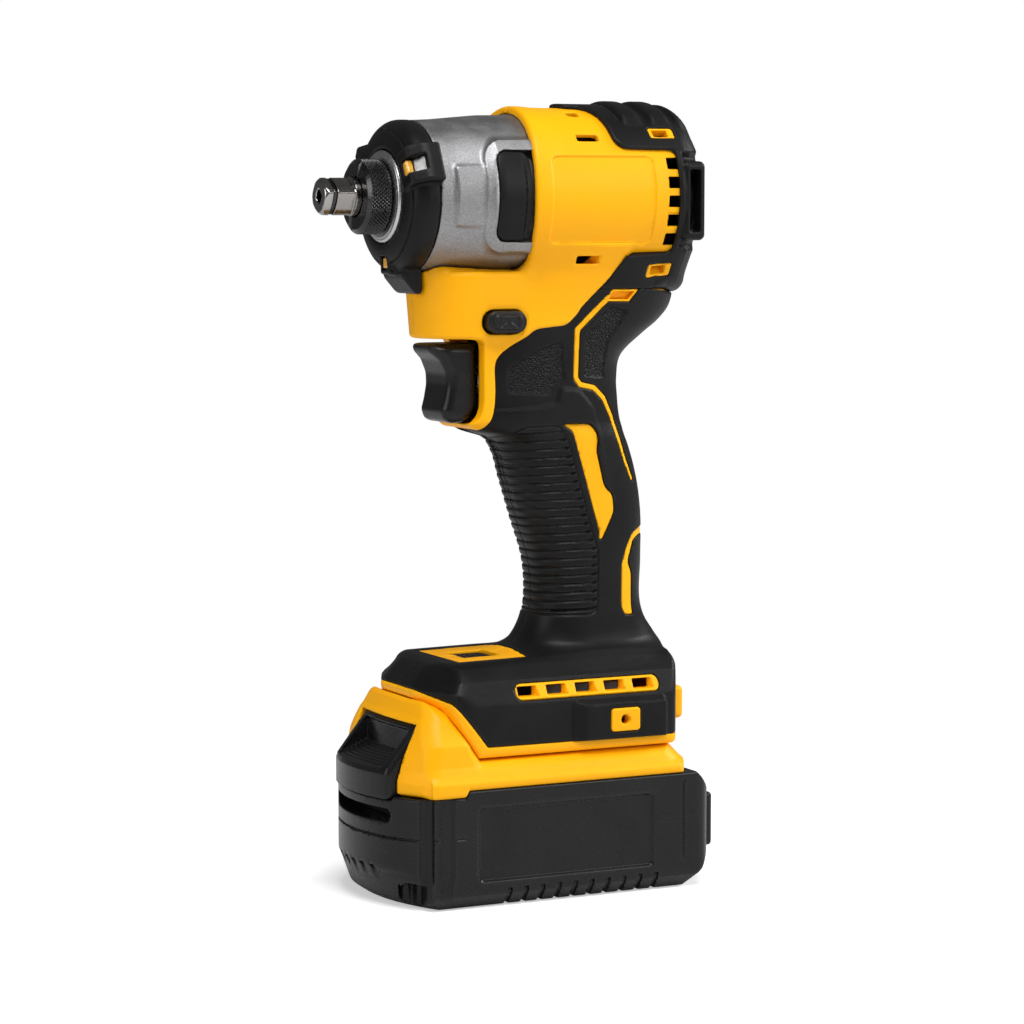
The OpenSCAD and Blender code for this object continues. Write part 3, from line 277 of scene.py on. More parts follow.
class Sheet:
    """A flat field worked out once on a fine grid, and looked up between the grid's points."""

    STEP = 0.25
    MARGIN = 6.0

    def __init__(self, field, corners):
        corners = np.array(corners)
        self.low = corners.min(0) - self.MARGIN
        self.counts = ((corners.max(0) + self.MARGIN - self.low) / self.STEP).astype(int) + 2
        axes = [a + self.STEP * np.arange(n) for a, n in zip(self.low, self.counts)]
        u, v = np.meshgrid(*axes, indexing="ij")
        self.values = field(u, v).astype(np.float32).ravel()

    def __call__(self, u, v):
        a = (u - self.low[0]) / self.STEP
        b = (v - self.low[1]) / self.STEP
        ca = np.clip(a, 0, self.counts[0] - 1.01)
        cb = np.clip(b, 0, self.counts[1] - 1.01)
        i = ca.astype(np.int32)
        j = cb.astype(np.int32)
        k = i * self.counts[1] + j
        fa, fb = ca - i, cb - j
        g, n = self.values, self.counts[1]
        first = g[k] * (1 - fb) + g[k + 1] * fb
        second = g[k + n] * (1 - fb) + g[k + n + 1] * fb
        beyond = np.maximum(np.abs(a - ca), np.abs(b - cb))
        return first + fa * (second - first) + self.STEP * beyond


def sheet(points, r=0.0):
    """Sheet of a closed outline, with its corners rounded."""
    points = round_corners(points, r) if r else list(points)
    return Sheet(lambda u, v: outline(u, v, points), points)


def locally(d, p, low, high, change):
    """Changes the field only at the points inside a box."""
    near = np.ones(len(d), bool)
    for c, a, b in zip(p, low, high):
        near &= (c > a) & (c < b)
    if near.any():
        d[near] = change(d[near], p[:, near])
    return d


def folded(p):
    """The coordinates with both sides folded onto +Y."""
    return p[0], np.abs(p[1]), p[2]


def axis_r(p):
    """Distance from the drive axis."""
    return length(p[1], p[2] - AXIS_Z)


def axis_arc(p):
    """The way round the drive axis from the top, on the head's radius."""
    return ARC_R * np.arctan2(np.abs(p[1]), p[2] - AXIS_Z)


# Meshes from fields

def field_at(field, points):
    """The field at many points, in chunks on several threads."""
    parts = [points[:, i:i + CHUNK] for i in range(0, points.shape[1], CHUNK)]
    return np.concatenate(list(THREADS.map(field, parts))).astype(np.float32)


def lattice(axes):
    """All places with one coordinate from each axis."""
    return np.stack(np.meshgrid(*axes, indexing="ij"), -1).reshape(-1, 3)


def grid_values(field, low, high, cell):
    """The field on a grid: exact near the surface, only its sign elsewhere."""
    sizes = (16, 4, 2, 1)
    far, half_diagonal, margin = 9.0, 0.87, 1.15
    counts = np.ceil((high - low) / (cell * sizes[0])).astype(int) * sizes[0]
    values = np.empty(counts, np.float32)
    blocks = lattice([np.arange(0, n, sizes[0]) for n in counts])
    for size, smaller in zip(sizes, sizes[1:] + (0,)):
        middle = (low + (blocks + (size - 1) / 2) * cell).T.astype(np.float32)
        d = field_at(field, middle)
        i, j, k = (blocks // size).T
        view = values.reshape(counts[0] // size, size, counts[1] // size, size, counts[2] // size, size)
        view[i, :, j, :, k, :] = (d if size == 1 else np.where(d > 0, far, -far))[:, None, None, None]
        if smaller:
            near = np.abs(d) < ((size - 1) * half_diagonal + 1.0) * cell * margin
            inner = lattice([np.arange(size // smaller)] * 3) * smaller
            blocks = (blocks[near][:, None] + inner).reshape(-1, 3)
    return values


def surface_net(values):
    """Cells, vertices in grid units and quads of the zero surface."""
    inside = values < 0
    corners = lattice([np.arange(2)] * 3)
    n = [s - 1 for s in values.shape]

    def corner(a, c):
        return a[c[0]:c[0] + n[0], c[1]:c[1] + n[1], c[2]:c[2] + n[2]]

    count = sum(corner(inside, c).astype(np.int8) for c in corners)
    mixed = (count > 0) & (count < 8)
    index = np.full(n, -1, np.int32)
    index[mixed] = np.arange(mixed.sum())
    held = [corner(values, c)[mixed] for c in corners]
    total = np.zeros((len(held[0]), 3))
    hits = np.zeros(len(held[0]))
    for a in range(8):
        for b in range(a + 1, 8):
            step = corners[b] - corners[a]
            if np.abs(step).sum() != 1:
                continue
            crossing = (held[a] < 0) != (held[b] < 0)
            t = held[a][crossing] / (held[a][crossing] - held[b][crossing])
            total[crossing] += corners[a] + t[:, None] * step
            hits[crossing] += 1
    cells = np.argwhere(mixed)
    quads = []
    for axis in range(3):
        one, two = [(1, 2), (2, 0), (0, 1)][axis]
        first = np.moveaxis(inside, axis, 0)[:-1]
        second = np.moveaxis(inside, axis, 0)[1:]
        spots = np.argwhere(first != second)
        moved = [axis] + [a for a in range(3) if a != axis]
        at = np.empty_like(spots)
        at[:, moved] = spots
        flips = inside[tuple(at.T)]
        keep = (at[:, one] > 0) & (at[:, two] > 0) & (at[:, one] < n[one]) & (at[:, two] < n[two])
        at, flips = at[keep], flips[keep]
        ring = []
        for s, t in ((-1, -1), (0, -1), (0, 0), (-1, 0)):
            shifted = at.copy()
            shifted[:, one] += s
            shifted[:, two] += t
            ring.append(index[tuple(shifted.T)])
        faces = np.stack(ring, 1)
        faces[~flips] = faces[~flips][:, ::-1]
        quads.append(faces)
    return cells, cells + total / hits[:, None], np.concatenate(quads)


TETRA = np.array([(1, 1, 1), (1, -1, -1), (-1, 1, -1), (-1, -1, 1)], np.float32)


def slope(field, points, e):
    """Gradient and mean of the field from four samples round each point."""
    samples = [field_at(field, points + e * k[:, None]) for k in TETRA]
    gradient = np.stack([sum(s * k[a] for s, k in zip(samples, TETRA)) for a in range(3)]) / (4 * e)
    return gradient, sum(samples) / 4


def merge_flat(cells, points, normals):
    """Moves the vertices of each flat neighbourhood to one place, and tells which vertex stands for each."""
    key_span, least_normal, most_spread = 4096, 0.9985, 0.025
    chosen = np.arange(len(cells))
    for size in (2, 4):
        parent = cells // size
        key = (parent[:, 0] * key_span + parent[:, 1]) * key_span + parent[:, 2]
        _, first, group = np.unique(key, return_index=True, return_inverse=True)
        count = np.bincount(group)
        normal = [np.bincount(group, c) / count for c in normals]
        middle = [np.bincount(group, c) / count for c in points]
        offset = sum((c - m[group]) * k[group] for c, m, k in zip(points, middle, normal))
        spread = np.sqrt(np.bincount(group, offset ** 2) / count)
        flat = (np.sqrt(sum(c * c for c in normal)) > least_normal) & (spread < most_spread)
        take = flat[group]
        chosen[take] = first[group[take]]
        for row, m in zip(points, middle):
            row[take] = m[group[take]]
    return chosen


def whole_faces(quads):
    """Quads whose corners differ, and triangles from those with two corners in one place."""
    same = np.stack([quads[:, i] == quads[:, (i + 1) % 4] for i in range(4)], 1)
    crossed = (quads[:, 0] == quads[:, 2]) | (quads[:, 1] == quads[:, 3])
    thin = (same.sum(1) == 1) & ~crossed
    drop = np.argmax(same[thin], 1)
    keep = np.stack([(drop + k) % 4 for k in (1, 2, 3)], 1)
    return quads[(same.sum(1) == 0) & ~crossed], np.take_along_axis(quads[thin], keep, 1)


def mesh_of(name, points, quads, triangles):
    """A smooth mesh from points in millimetres, without doubled faces."""
    mesh = bpy.data.meshes.new(name)
    mesh.vertices.add(points.shape[1])
    mesh.vertices.foreach_set("co", (points.T * MM).astype(np.float32).ravel())
    loops = np.concatenate([quads.ravel(), triangles.ravel()]).astype(np.int32)
    sides = np.concatenate([np.full(len(quads), 4), np.full(len(triangles), 3)])
    mesh.loops.add(len(loops))
    mesh.loops.foreach_set("vertex_index", loops)
    mesh.polygons.add(len(sides))
    mesh.polygons.foreach_set("loop_start", (np.cumsum(sides) - sides).astype(np.int32))
    mesh.update(calc_edges=True)
    mesh.validate()
    mesh.shade_smooth()
    return mesh


def shell(name, field, low, high, cell, material, body, node=None, mirror=False, marks=None):
    """A mesh of the field's surface that rides on a body and may stand for a CAD node."""
    cell = cell * COARSE
    probe, edge_reach = cell * 0.2, 0.4
    low = np.array(low, float) - 2 * cell
    high = np.array(high, float) + 2 * cell
    cells, vertices, quads = surface_net(grid_values(field, low, high, cell))
    points = (low + vertices * cell).T.astype(np.float32)
    gradient, value = slope(field, points, probe)
    steep = np.maximum((gradient ** 2).sum(0), 0.2)
    points -= np.clip(value * gradient / steep, -cell * 0.6, cell * 0.6)
    chosen = merge_flat(cells, points, gradient / np.sqrt(steep))
    quads, triangles = whole_faces(chosen[quads])
    used, order = np.unique(np.concatenate([quads.ravel(), triangles.ravel()]), return_inverse=True)
    points = points[:, used]
    quads, triangles = order[:quads.size].reshape(-1, 4), order[quads.size:].reshape(-1, 3)
    normals = slope(field, points, probe)[0]
    normals /= np.maximum(np.sqrt((normals ** 2).sum(0)), 1e-6)
    # Convexity at each point, which the moulded materials use to lighten edges as rubbed wear and painted
    # highlight.
    bend = slope(field, points, edge_reach)[1] * 2 / edge_reach ** 2
    extra = {"edge": np.clip(bend, -2, 2)}
    for key, mark_of in (marks or {}).items():
        extra[key] = mark_of(points)
    if mirror:
        points[1] *= -1
        normals[1] *= -1
        quads, triangles = quads[:, ::-1], triangles[:, ::-1]
    mesh = mesh_of(name, points, quads, triangles)
    for key, values in extra.items():
        mesh.attributes.new(key, "FLOAT", "POINT").data.foreach_set("value", values.astype(np.float32))
    mesh.normals_split_custom_set_from_vertices(normals.T.tolist())
    return place(name, mesh, material, body, node)


def place(name, mesh, material, body, node=None):
    """Puts a mesh into the scene as a piece of the object, with its material."""
    piece = bpy.data.objects.new(name, mesh)
    bpy.context.scene.collection.objects.link(piece)
    mesh.materials.append(material)
    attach(piece, body)
    if node:
        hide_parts(node)
    return piece


# Materials

def wire(tree, socket, value):
    """Links an input to a node's output, or sets it to a number or a colour."""
    if isinstance(value, bpy.types.NodeSocket):
        tree.links.new(value, socket)
    elif socket.type == "RGBA":
        socket.default_value = (*value, 1)
    else:
        socket.default_value = value


def add_node(tree, kind, output, inputs, **settings):
    """Adds a node with its settings and inputs, and gives one of its outputs."""
    node = tree.nodes.new(kind)
    for key, value in settings.items():
        setattr(node, key, value)
    for key, value in inputs.items():
        wire(tree, node.inputs[key], value)
    return node.outputs[output]


def principled(name, color, roughness, metallic=0.0, gloss=0.4):
    """A material with its node tree, shader and object coordinates."""
    material = bpy.data.materials.new(name)
    material.use_nodes = True
    tree = material.node_tree
    shader = tree.nodes["Principled BSDF"]
    values = {"Base Color": color, "Roughness": roughness, "Metallic": metallic, "Specular IOR Level": gloss}
    for key, value in values.items():
        wire(tree, shader.inputs[key], value)
    return material, tree, shader, add_node(tree, "ShaderNodeTexCoord", "Object", {})


def noise(tree, where, scale, detail):
    """Noise of a size given by its scale per metre."""
    return add_node(tree, "ShaderNodeTexNoise", "Fac", {"Vector": where, "Scale": scale, "Detail": detail})


def ramp(tree, value, low, high, to_low, to_high):
    """Maps a value from one range to another."""
    ends = {"From Min": low, "From Max": high, "To Min": to_low, "To Max": to_high}
    return add_node(tree, "ShaderNodeMapRange", "Result", {"Value": value, **ends})


def mark(tree, name):
    """A named value that the mesh carries at each point."""
    return add_node(tree, "ShaderNodeAttribute", "Fac", {}, attribute_name=name)


def blend_colors(tree, factor, first, second):
    """Mix of two colours, either of which may be a socket."""
    inputs = {"Factor": factor, "A": first, "B": second}
    return add_node(tree, "ShaderNodeMix", "Result", inputs, data_type="RGBA")


def add_bump(tree, shader, height, strength, depth):
    """Small relief, of a depth in metres, over the relief that is there."""
    inputs = {"Strength": strength, "Distance": depth, "Height": height}
    last = shader.inputs["Normal"]
    if last.is_linked:
        inputs["Normal"] = last.links[0].from_socket
    wire(tree, last, add_node(tree, "ShaderNodeBump", "Normal", inputs))


def moulded(name, color, bright, roughness, grain, depth, pebble=False, gloss=0.4):
    """Moulded plastic or rubber: fine grain, uneven tone and gloss, and convex edges lightened as rubbed wear
    and painted highlight.
    """
    material, tree, shader, where = principled(name, color, roughness, gloss=gloss)
    cloud = noise(tree, where, 60, 4)
    tone = blend_colors(tree, ramp(tree, cloud, 0.3, 0.7, 0, 0.35), color, bright)
    # Convex edges blend towards the bright colour: partly rubbed wear, partly painted highlight.
    rubbed_and_highlit = blend_colors(tree, ramp(tree, mark(tree, "edge"), 0.25, 1.6, 0, 0.55), tone, bright)
    wire(tree, shader.inputs["Base Color"], rubbed_and_highlit)
    fine = noise(tree, where, grain, 2)
    wire(tree, shader.inputs["Roughness"], ramp(tree, fine, 0.3, 0.7, roughness - 0.06, roughness + 0.07))
    add_bump(tree, shader, fine, 0.6, depth)
    if pebble:
        cells = add_node(tree, "ShaderNodeTexVoronoi", "Distance", {"Vector": where, "Scale": 1500})
        inputs = {0: cells, 1: mark(tree, "pebble")}
        lumps = add_node(tree, "ShaderNodeMath", "Value", inputs, operation="MULTIPLY")
        add_bump(tree, shader, lumps, 1.0, -0.0006)
    return material


def metal(name, color, bright, roughness, grain, depth, streak=(1, 1, 1)):
    """Bare metal with a fine grain, stretched where it is turned or brushed."""
    material, tree, shader, where = principled(name, color, roughness, 1.0)
    stretched = add_node(tree, "ShaderNodeMapping", "Vector", {"Vector": where, "Scale": streak})
    fine = noise(tree, stretched, grain, 4)
    cloud = noise(tree, where, 90, 3)
    tone = blend_colors(tree, ramp(tree, cloud, 0.35, 0.65, 0, 1), color, bright)
    wire(tree, shader.inputs["Base Color"], tone)
    wire(tree, shader.inputs["Roughness"], ramp(tree, fine, 0.3, 0.7, roughness - 0.08, roughness + 0.1))
    add_bump(tree, shader, fine, 0.7, depth)
    return material


def cast_metal():
    """Cast aluminium with the fine grain of a blasted mould."""
    material, tree, shader, where = principled("cast_aluminium", (0.40, 0.40, 0.405), 0.42, 1.0)
    grain = noise(tree, where, 2200, 2)
    cloud = noise(tree, where, 180, 3)
    tone = blend_colors(tree, ramp(tree, grain, 0.3, 0.7, 0, 1), (0.24, 0.24, 0.245), (0.36, 0.36, 0.365))
    wire(tree, shader.inputs["Base Color"], tone)
    wire(tree, shader.inputs["Roughness"], ramp(tree, cloud, 0.3, 0.7, 0.42, 0.54))
    add_bump(tree, shader, grain, 0.7, 0.00012)
    return material


def amber_lens():
    """Lens of a lamp that is off: amber phosphor under clear resin."""
    material, tree, shader, where = principled("amber_lens", (0.9, 0.42, 0.03), 0.15)
    cloud = noise(tree, where, 900, 2)
    wire(tree, shader.inputs["Base Color"], blend_colors(tree, cloud, (0.75, 0.28, 0.01), (1.0, 0.6, 0.08)))
    wire(tree, shader.inputs["Coat Weight"], 1.0)
    wire(tree, shader.inputs["Coat Roughness"], 0.05)
    return material


def board_green():
    """Circuit board with its copper pattern under the lacquer."""
    material, tree, shader, where = principled("board_green", (0.02, 0.12, 0.04), 0.4)
    colors = {"Color1": (0.015, 0.1, 0.035), "Color2": (0.02, 0.14, 0.05), "Mortar": (0.05, 0.22, 0.09)}
    tracks = add_node(tree, "ShaderNodeTexBrick", "Color", {"Vector": where, "Scale": 300, **colors})
    wire(tree, shader.inputs["Base Color"], tracks)
    return material


# The second colour of each moulded material below is its random tone and also the colour its convex edges
# blend to: rubbed wear and painted highlight.
DARK = (0.0045, 0.0045, 0.0047)
DARK_RUBBED_AND_HIGHLIT = (0.016, 0.016, 0.0165)
YELLOW = moulded("yellow_nylon", (1.0, 0.43, 0.0), (1.0, 0.495, 0.002), 0.42, 3200, 0.00004, gloss=0.2)
RUBBER = moulded("black_rubber", DARK, (0.015, 0.015, 0.0155), 0.40, 2600, 0.00008, pebble=True, gloss=0.16)
BLACK = moulded("black_nylon", DARK, DARK_RUBBED_AND_HIGHLIT, 0.30, 3000, 0.00005, gloss=0.28)
PACK = moulded("pack_black", DARK, DARK_RUBBED_AND_HIGHLIT, 0.27, 2800, 0.00005, gloss=0.27)
CAST = cast_metal()
NOSE = metal("nose_ring", (0.5, 0.5, 0.51), (0.6, 0.6, 0.61), 0.3, 1500, 0.00004)
DRIVE = metal("dark_steel", (0.30, 0.285, 0.275), (0.40, 0.385, 0.375), 0.16, 900, 0.00002, (6, 1, 1))
STEEL = metal("steel", (0.45, 0.45, 0.46), (0.56, 0.56, 0.57), 0.28, 900, 0.00002, (6, 1, 1))
OXIDE = metal("black_steel", (0.05, 0.05, 0.051), (0.075, 0.075, 0.077), 0.24, 2000, 0.00003)
BRONZE = metal("bronze", (0.5, 0.32, 0.14), (0.6, 0.4, 0.18), 0.4, 1500, 0.00005)
COPPER = metal("copper", (0.6, 0.26, 0.12), (0.7, 0.34, 0.17), 0.35, 1200, 0.0001, (1, 1, 12))
CONTACT = metal("contact_metal", (0.62, 0.45, 0.2), (0.72, 0.55, 0.28), 0.3, 1200, 0.00003)
MIRROR = metal("reflector", (0.2, 0.2, 0.195), (0.36, 0.36, 0.35), 0.34, 800, 0.00002)
AMBER = amber_lens()
BOARD = board_green()
CELL_WRAP = moulded("cell_wrap", (0.03, 0.16, 0.12), (0.05, 0.22, 0.17), 0.3, 900, 0.00003)


# Forms that several pieces share

TABLE_STEP = 0.25
table_z = np.arange(HANDLE[0, 0], HANDLE[-1, 0] + TABLE_STEP, TABLE_STEP)


def smooth_column(values):
    """A column of the handle's sections, drawn as a smooth curve over height."""
    z = HANDLE[:, 0]
    rise = np.diff(values) / np.diff(z)
    tangent = np.concatenate([[rise[0]], (rise[1:] + rise[:-1]) / 2, [rise[-1]]])
    i = np.clip(np.searchsorted(z, table_z) - 1, 0, len(z) - 2)
    h = np.diff(z)[i]
    t = (table_z - z[i]) / h
    curve = ((2 * t ** 3 - 3 * t ** 2 + 1) * values[i] + (t ** 3 - 2 * t ** 2 + t) * h * tangent[i]
             + (3 * t ** 2 - 2 * t ** 3) * values[i + 1] + (t ** 3 - t ** 2) * h * tangent[i + 1])
    return curve.astype(np.float32)


HANDLE_FRONT, HANDLE_BACK, HANDLE_HALF = (smooth_column(HANDLE[:, c]) for c in (1, 2, 3))
FRONT_RISE, BACK_RISE = (np.gradient(column, TABLE_STEP) for column in (HANDLE_FRONT, HANDLE_BACK))


def along_handle(z, *columns):
    """Columns of the handle at given heights."""
    t = np.clip((z - table_z[0]) / TABLE_STEP, 0, len(table_z) - 1.01)
    i = t.astype(np.int32)
    f = t - i
    return [c[i] + f * (c[i + 1] - c[i]) for c in columns]


def handle_form(p):
    """Grip and neck, as stretched ovals over height."""
    x, y, z = p
    front, back, b, front_rise, back_rise = along_handle(
        z, HANDLE_FRONT, HANDLE_BACK, HANDLE_HALF, FRONT_RISE, BACK_RISE)
    a = (front - back) / 2
    ahead = x - (front + back) / 2
    u = np.abs(ahead) / a
    v = np.abs(y) / b
    gu = u * np.sqrt(u)
    gv = v * np.sqrt(v)
    f = np.maximum(u * gu + v * gv, 1e-6) ** 0.4
    rise = np.where(ahead > 0, front_rise, back_rise)
    g = np.sqrt((gu / a) ** 2 * (1 + rise * rise) + (gv / b) ** 2) / (f * np.sqrt(f))
    d = (f - 1) / np.maximum(g, 0.03)
    return np.maximum(d, between(z, HANDLE[0, 0], HANDLE[-1, 0]))


FOOT_SLOPE_X = 12
FOOT_SLOPE_Z = 70.6
NECK_FILLET = 6.0
CHIN_X = 23.2
CHIN_R = 16.8
CHIN_LOW_Z = 186.0
CHIN_TOP_Z = 208.5
RAIL_X = (-27.5, 27)
RAIL_NECK_HALF = 18
RAIL_HALF = 21
RAIL_LOW_Z = 54
RAIL_TOP_Z = 58.3

foot_side, foot_across, foot_plan = sheet(FOOT_SIDE), sheet(FOOT_ACROSS), sheet(FOOT_PLAN, 2.5)


def foot_form(p):
    """Foot that takes the pack, with its front corners sloped above."""
    x, y, z = folded(p)
    plan = foot_plan(x, y)
    ahead = 3 * np.clip(FOOT_SLOPE_X - x, 0, 10)
    sloped = shared(plan, 0.78 * (plan + 0.8 * (z - FOOT_SLOPE_Z)) - ahead)
    return meet(meet(foot_side(x, z), foot_across(y, z), 2.2), sloped, 1.5)


def neck_form(p):
    """Handle and foot in one."""
    return join(handle_form(p), foot_form(p), NECK_FILLET)


def head_form(p):
    """Barrel of the motor housing, with its front edge bowed back above and below."""
    x, z = p[0], p[2]
    swell = 0.5 * np.exp(-((x - 4.0) / 4.5) ** 2)
    front = HEAD_FRONT - 3.2 * ((z - AXIS_Z) / ARC_R) ** 2
    return meet(axis_r(p) - HEAD_R - swell, shared(HEAD_BACK - x, x - front), 1.0)


def chin_form(p):
    """Round front of the housing over the trigger."""
    x, y, z = folded(p)
    plan = length(np.maximum(x - CHIN_X, 0), y) - CHIN_R - 0.08 * np.clip(z - CHIN_LOW_Z, 0, 20)
    top = CHIN_TOP_Z + np.clip(14 - y, 0, 5)
    return meet(shared(plan, -10 - x), shared(CHIN_LOW_Z - z, 0.8 * (z - top)), 1.6)


def pack_plan(p, inset):
    """Plan of the pack with its bulging front and chamfered rear corners."""
    x, y = p[0], np.abs(p[1])
    bulge = length(np.maximum(x - PACK_FRONT + PACK_BULGE_R, 0), y) - PACK_BULGE_R + inset
    sides = meet(y - PACK_HALF + inset, PACK_BACK + inset - x, 2.0)
    sides = meet(sides, 0.7071 * (y - PACK_HALF - x + PACK_BACK) + 3.2 + inset, 2.0)
    return meet(sides, bulge, 3.0)


def unbowed(p):
    """Distance along x with the bulge of the pack's front taken out."""
    x, y, z = p
    bow = np.interp(z, [46, 61], [1 / (2 * PACK_BULGE_R), 1 / 360]).astype(np.float32)
    return x + bow * y * y * np.clip((x - 34) / 8, 0, 1)


def tapered(p):
    """How far the rear end of the pack's upper half draws in towards its sides."""
    return 0.52 * np.clip(np.abs(p[1]) - 24.6, 0, 12) * np.clip((-20 - p[0]) / 8, 0, 1)


def rails(p, grow):
    """Rails of the pack, or with some growth the channel that takes them, open to the front."""
    y, z = np.abs(p[1]), p[2]
    neck = shared(y - RAIL_NECK_HALF - grow, between(z, 40, RAIL_TOP_Z + grow))
    top = shared(y - RAIL_HALF - grow, between(z, RAIL_LOW_Z - grow, RAIL_TOP_Z + grow))
    span = between(p[0], RAIL_X[0] - 2.5 * (grow > 0), RAIL_X[1] + 60 * (grow > 0))
    return shared(np.minimum(neck, top), span)


# Outside of the rear bumper, which its windows follow

def bumper_seam(p):
    """Positive below the lower edge of the bumper, which drops towards the rear."""
    return BUMPER_SEAM_Z - BUMPER_SEAM_DROP * np.clip((-38 - p[0]) / 16, 0, 1) - p[2]


def bumper_body(p):
    """Barrel of the bumper with bumps on top and flats beside its lugs, run into the neck below."""
    x, z = p[0], p[2]
    r, arc = axis_r(p), axis_arc(p)
    outer_r = np.interp(x, BUMPER_X, BUMPER_R)
    ridge = sum(np.exp(-((x - c) / 3.7) ** 6) for c in BUMPER_BUMPS)
    outer_r = outer_r + (1.9 * ridge - 0.8) * np.clip((22 - arc) / 5, 0, 1) * (x < -27)
    beside_lug = np.clip((16.5 - np.abs(z - LUG_Z)) / 2, 0, 1) * np.clip((-45.4 - x) / 1.2, 0, 1)
    outer_r = (outer_r - 1.8 * beside_lug).astype(np.float32)
    swollen = neck_form(p) - 3.6 * np.clip((-40 - x) / 13, 0, 1)
    return meet(join(r - outer_r, swollen, 5.0), BUMPER_BACK - x, 2.0)


def bumper_window(x, arc, centre):
    """Outline of a window in the bumper, unrolled."""
    return rectangle(x, arc, *WINDOW_X, centre - WINDOW_HALF, centre + WINDOW_HALF, 0.8)


# Yellow housing

VENT_STRIP = (-36.4, 17.6, 67.4, 72.9)
VENT_SLOTS = [12.7 - 10.8 * k for k in range(5)]
VENT_SLOT_HALF = 4.0
VENT_SLOT_Z = (68.6, 71.9)
BOSS = (-27.1, -16.0, 55.2, 63.2)
BOSS_FACE = FOOT_HALF + 2.4
FRAME_X = (6.2, 31.5)
FRAME_HALF = 16.5
SELECTOR_X = 18.5
SELECTOR_WELL = (6.3, 7.3)
HOOK = (-21.3, 59.2)
HOOK_HOLE_R = 1.6
HOOK_SEAT_R = 4.0
HOOK_SEAT_Y = (24.3, 31.5)
COLLAR = (6, 26.2, 155.7, 190)
COLLAR_HALF = 15.6
HEAD_PANEL = (-35, 2.8, 217.7, 246)
HEAD_SLOT_X = (-16.8, -8.8)
UPPER_SLOT_ARC = (24.4, 27.2)
LOWER_SLOT_Z = (210.8, 213.4)
TOP_SLOT = (-15.0, -10.6, 9.8, 13.6)
REAR_VENT_X = (-50, -40.2)
REAR_VENT_HALF = 1.9
REAR_VENT_PITCH = 6.27
REAR_VENT_DROP = 1.6
BUTTON_HOLE = (7.6, 23.3, 187.7, 195.9)
CHIN_NOTCH = ((38.2, 9.5, 195.5), (45, 12.6, 201.5))
SWITCH_ROOM = ((-14.2, -10.8, 158), (70, 10.8, 186))
FOOT_ROOM = ((-41, -27, 61.3), (35.5, 27, 74.5))
TERMINAL_ROOM = ((-40.2, -16.2, 53.5), (-29, 16.2, 62.3))
GRIP_ROOM_Z = (76, 163)
GRIP_WALL = 2.6

front_region = sheet(FRONT_REGION, 2.2)
trigger_window = sheet(TRIGGER_WINDOW, 3.0)
accent_window = sheet(ACCENT_WINDOW)
foot_rim = sheet(FOOT_RIM)


def side_accents(u, v):
    """Yellow shapes on the side of the neck and foot."""
    width = np.interp(v, [137, 144, 152, 168, 200], [0.7, 0.8, 0.9, 1.05, 1.15])
    return np.minimum.reduce([
        stroke(u, v, ACCENT) - width,
        outline(u, v, ACCENT_WINDOW),
        outline(u, v, round_corners(GRIP_BADGE, 1.6)),
        outline(u, v, round_corners(REAR_BADGE, 1.4)),
        rectangle(u, v, *VENT_STRIP, 2.4),
        rectangle(u, v, *BOSS, 1.4),
    ])


accent_sheet = Sheet(side_accents, ACCENT + ACCENT_WINDOW + REAR_BADGE + [(VENT_STRIP[1], BOSS[2])])


def accents(p):
    """Places on the neck and foot where yellow shows through the rubber, negative inside."""
    x, y, z = p
    top = shared(rectangle(x, y, *FRAME_X, -FRAME_HALF, FRAME_HALF, 1.0), between(z, 74, 84))
    return np.minimum(accent_sheet(x, z), top)


def yellow_surface(p):
    """Outside of the yellow moulding, without its hollows."""
    x, y, z = p
    neck = neck_form(p)
    collar = meet(rectangle(x, z, *COLLAR, 4.5), np.abs(y) - COLLAR_HALF, 4.0)
    front = meet(np.minimum(neck, collar), front_region(x, z) + GAP, 0.35)
    front = join(front, chin_form(p), 3.0)
    d = join(front, head_form(p), 4.0)
    d = np.minimum(d, neck + SKIN_T + 0.05)
    d = np.minimum(d, meet(neck, foot_rim(x, z) + GAP, 0.35))
    d = np.minimum(d, box(p, *REAR_BUMP, 1.8))
    d = np.minimum(d, meet(neck + 0.28, accents(p) + GAP, 0.25))
    boss = shared(rectangle(x, z, *BOSS, 1.3) + GAP, 27 - y)
    d = np.minimum(d, meet(boss, y - BOSS_FACE, 0.5))
    return cut(d, shared(accent_window(x, z) + 0.9, -2.4 - neck), 0.2)


def head_details(d, q):
    """Panel, slots and rear vents of the motor housing."""
    x, y, z = q
    r, arc = axis_r(q), axis_arc(q)
    d = cut(d, shared(rectangle(x, z, *HEAD_PANEL, 2.5), HEAD_R - 0.4 - r), 0.7)
    ramp_in = np.clip((x + 17.4) / 4.5, 0, 1)
    upper = rectangle(x, arc, *HEAD_SLOT_X, *UPPER_SLOT_ARC, 0.4)
    d = cut(d, shared(upper, HEAD_R - 12.0 * ramp_in - r), 0.25)
    lower = rectangle(x, z, *HEAD_SLOT_X, *LOWER_SLOT_Z, 0.4)
    d = cut(d, shared(lower, 23.5 - 9.5 * ramp_in - y), 0.25)
    d = cut(d, shared(rectangle(x, arc, *TOP_SLOT, 0.6), 24 - r), 0.3)
    for k in range(-2, 3):
        centre = AXIS_Z - REAR_VENT_DROP + REAR_VENT_PITCH * k
        vent = rectangle(x, z, *REAR_VENT_X, centre - REAR_VENT_HALF, centre + REAR_VENT_HALF, 0.3)
        d = cut(d, shared(vent, 20 - y), 0.2)
    return d


def window_frames(d, q):
    """Frames of the windows in the rear bumper."""
    x, r, arc = q[0], axis_r(q), axis_arc(q)
    body = bumper_body(q)
    for centre in WINDOW_ARCS:
        rim = shared(bumper_window(x, arc, centre) + GAP, HEAD_R - 1 - r)
        d = np.minimum(d, meet(rim, body + 0.3, 0.2))
        slit = rectangle(x, arc, WINDOW_X[0] + 2.4, WINDOW_X[1] - 1.5, centre - 1.5, centre + 1.5, 0.3)
        d = cut(d, shared(slit, 20 - r), 0.2)
    return d


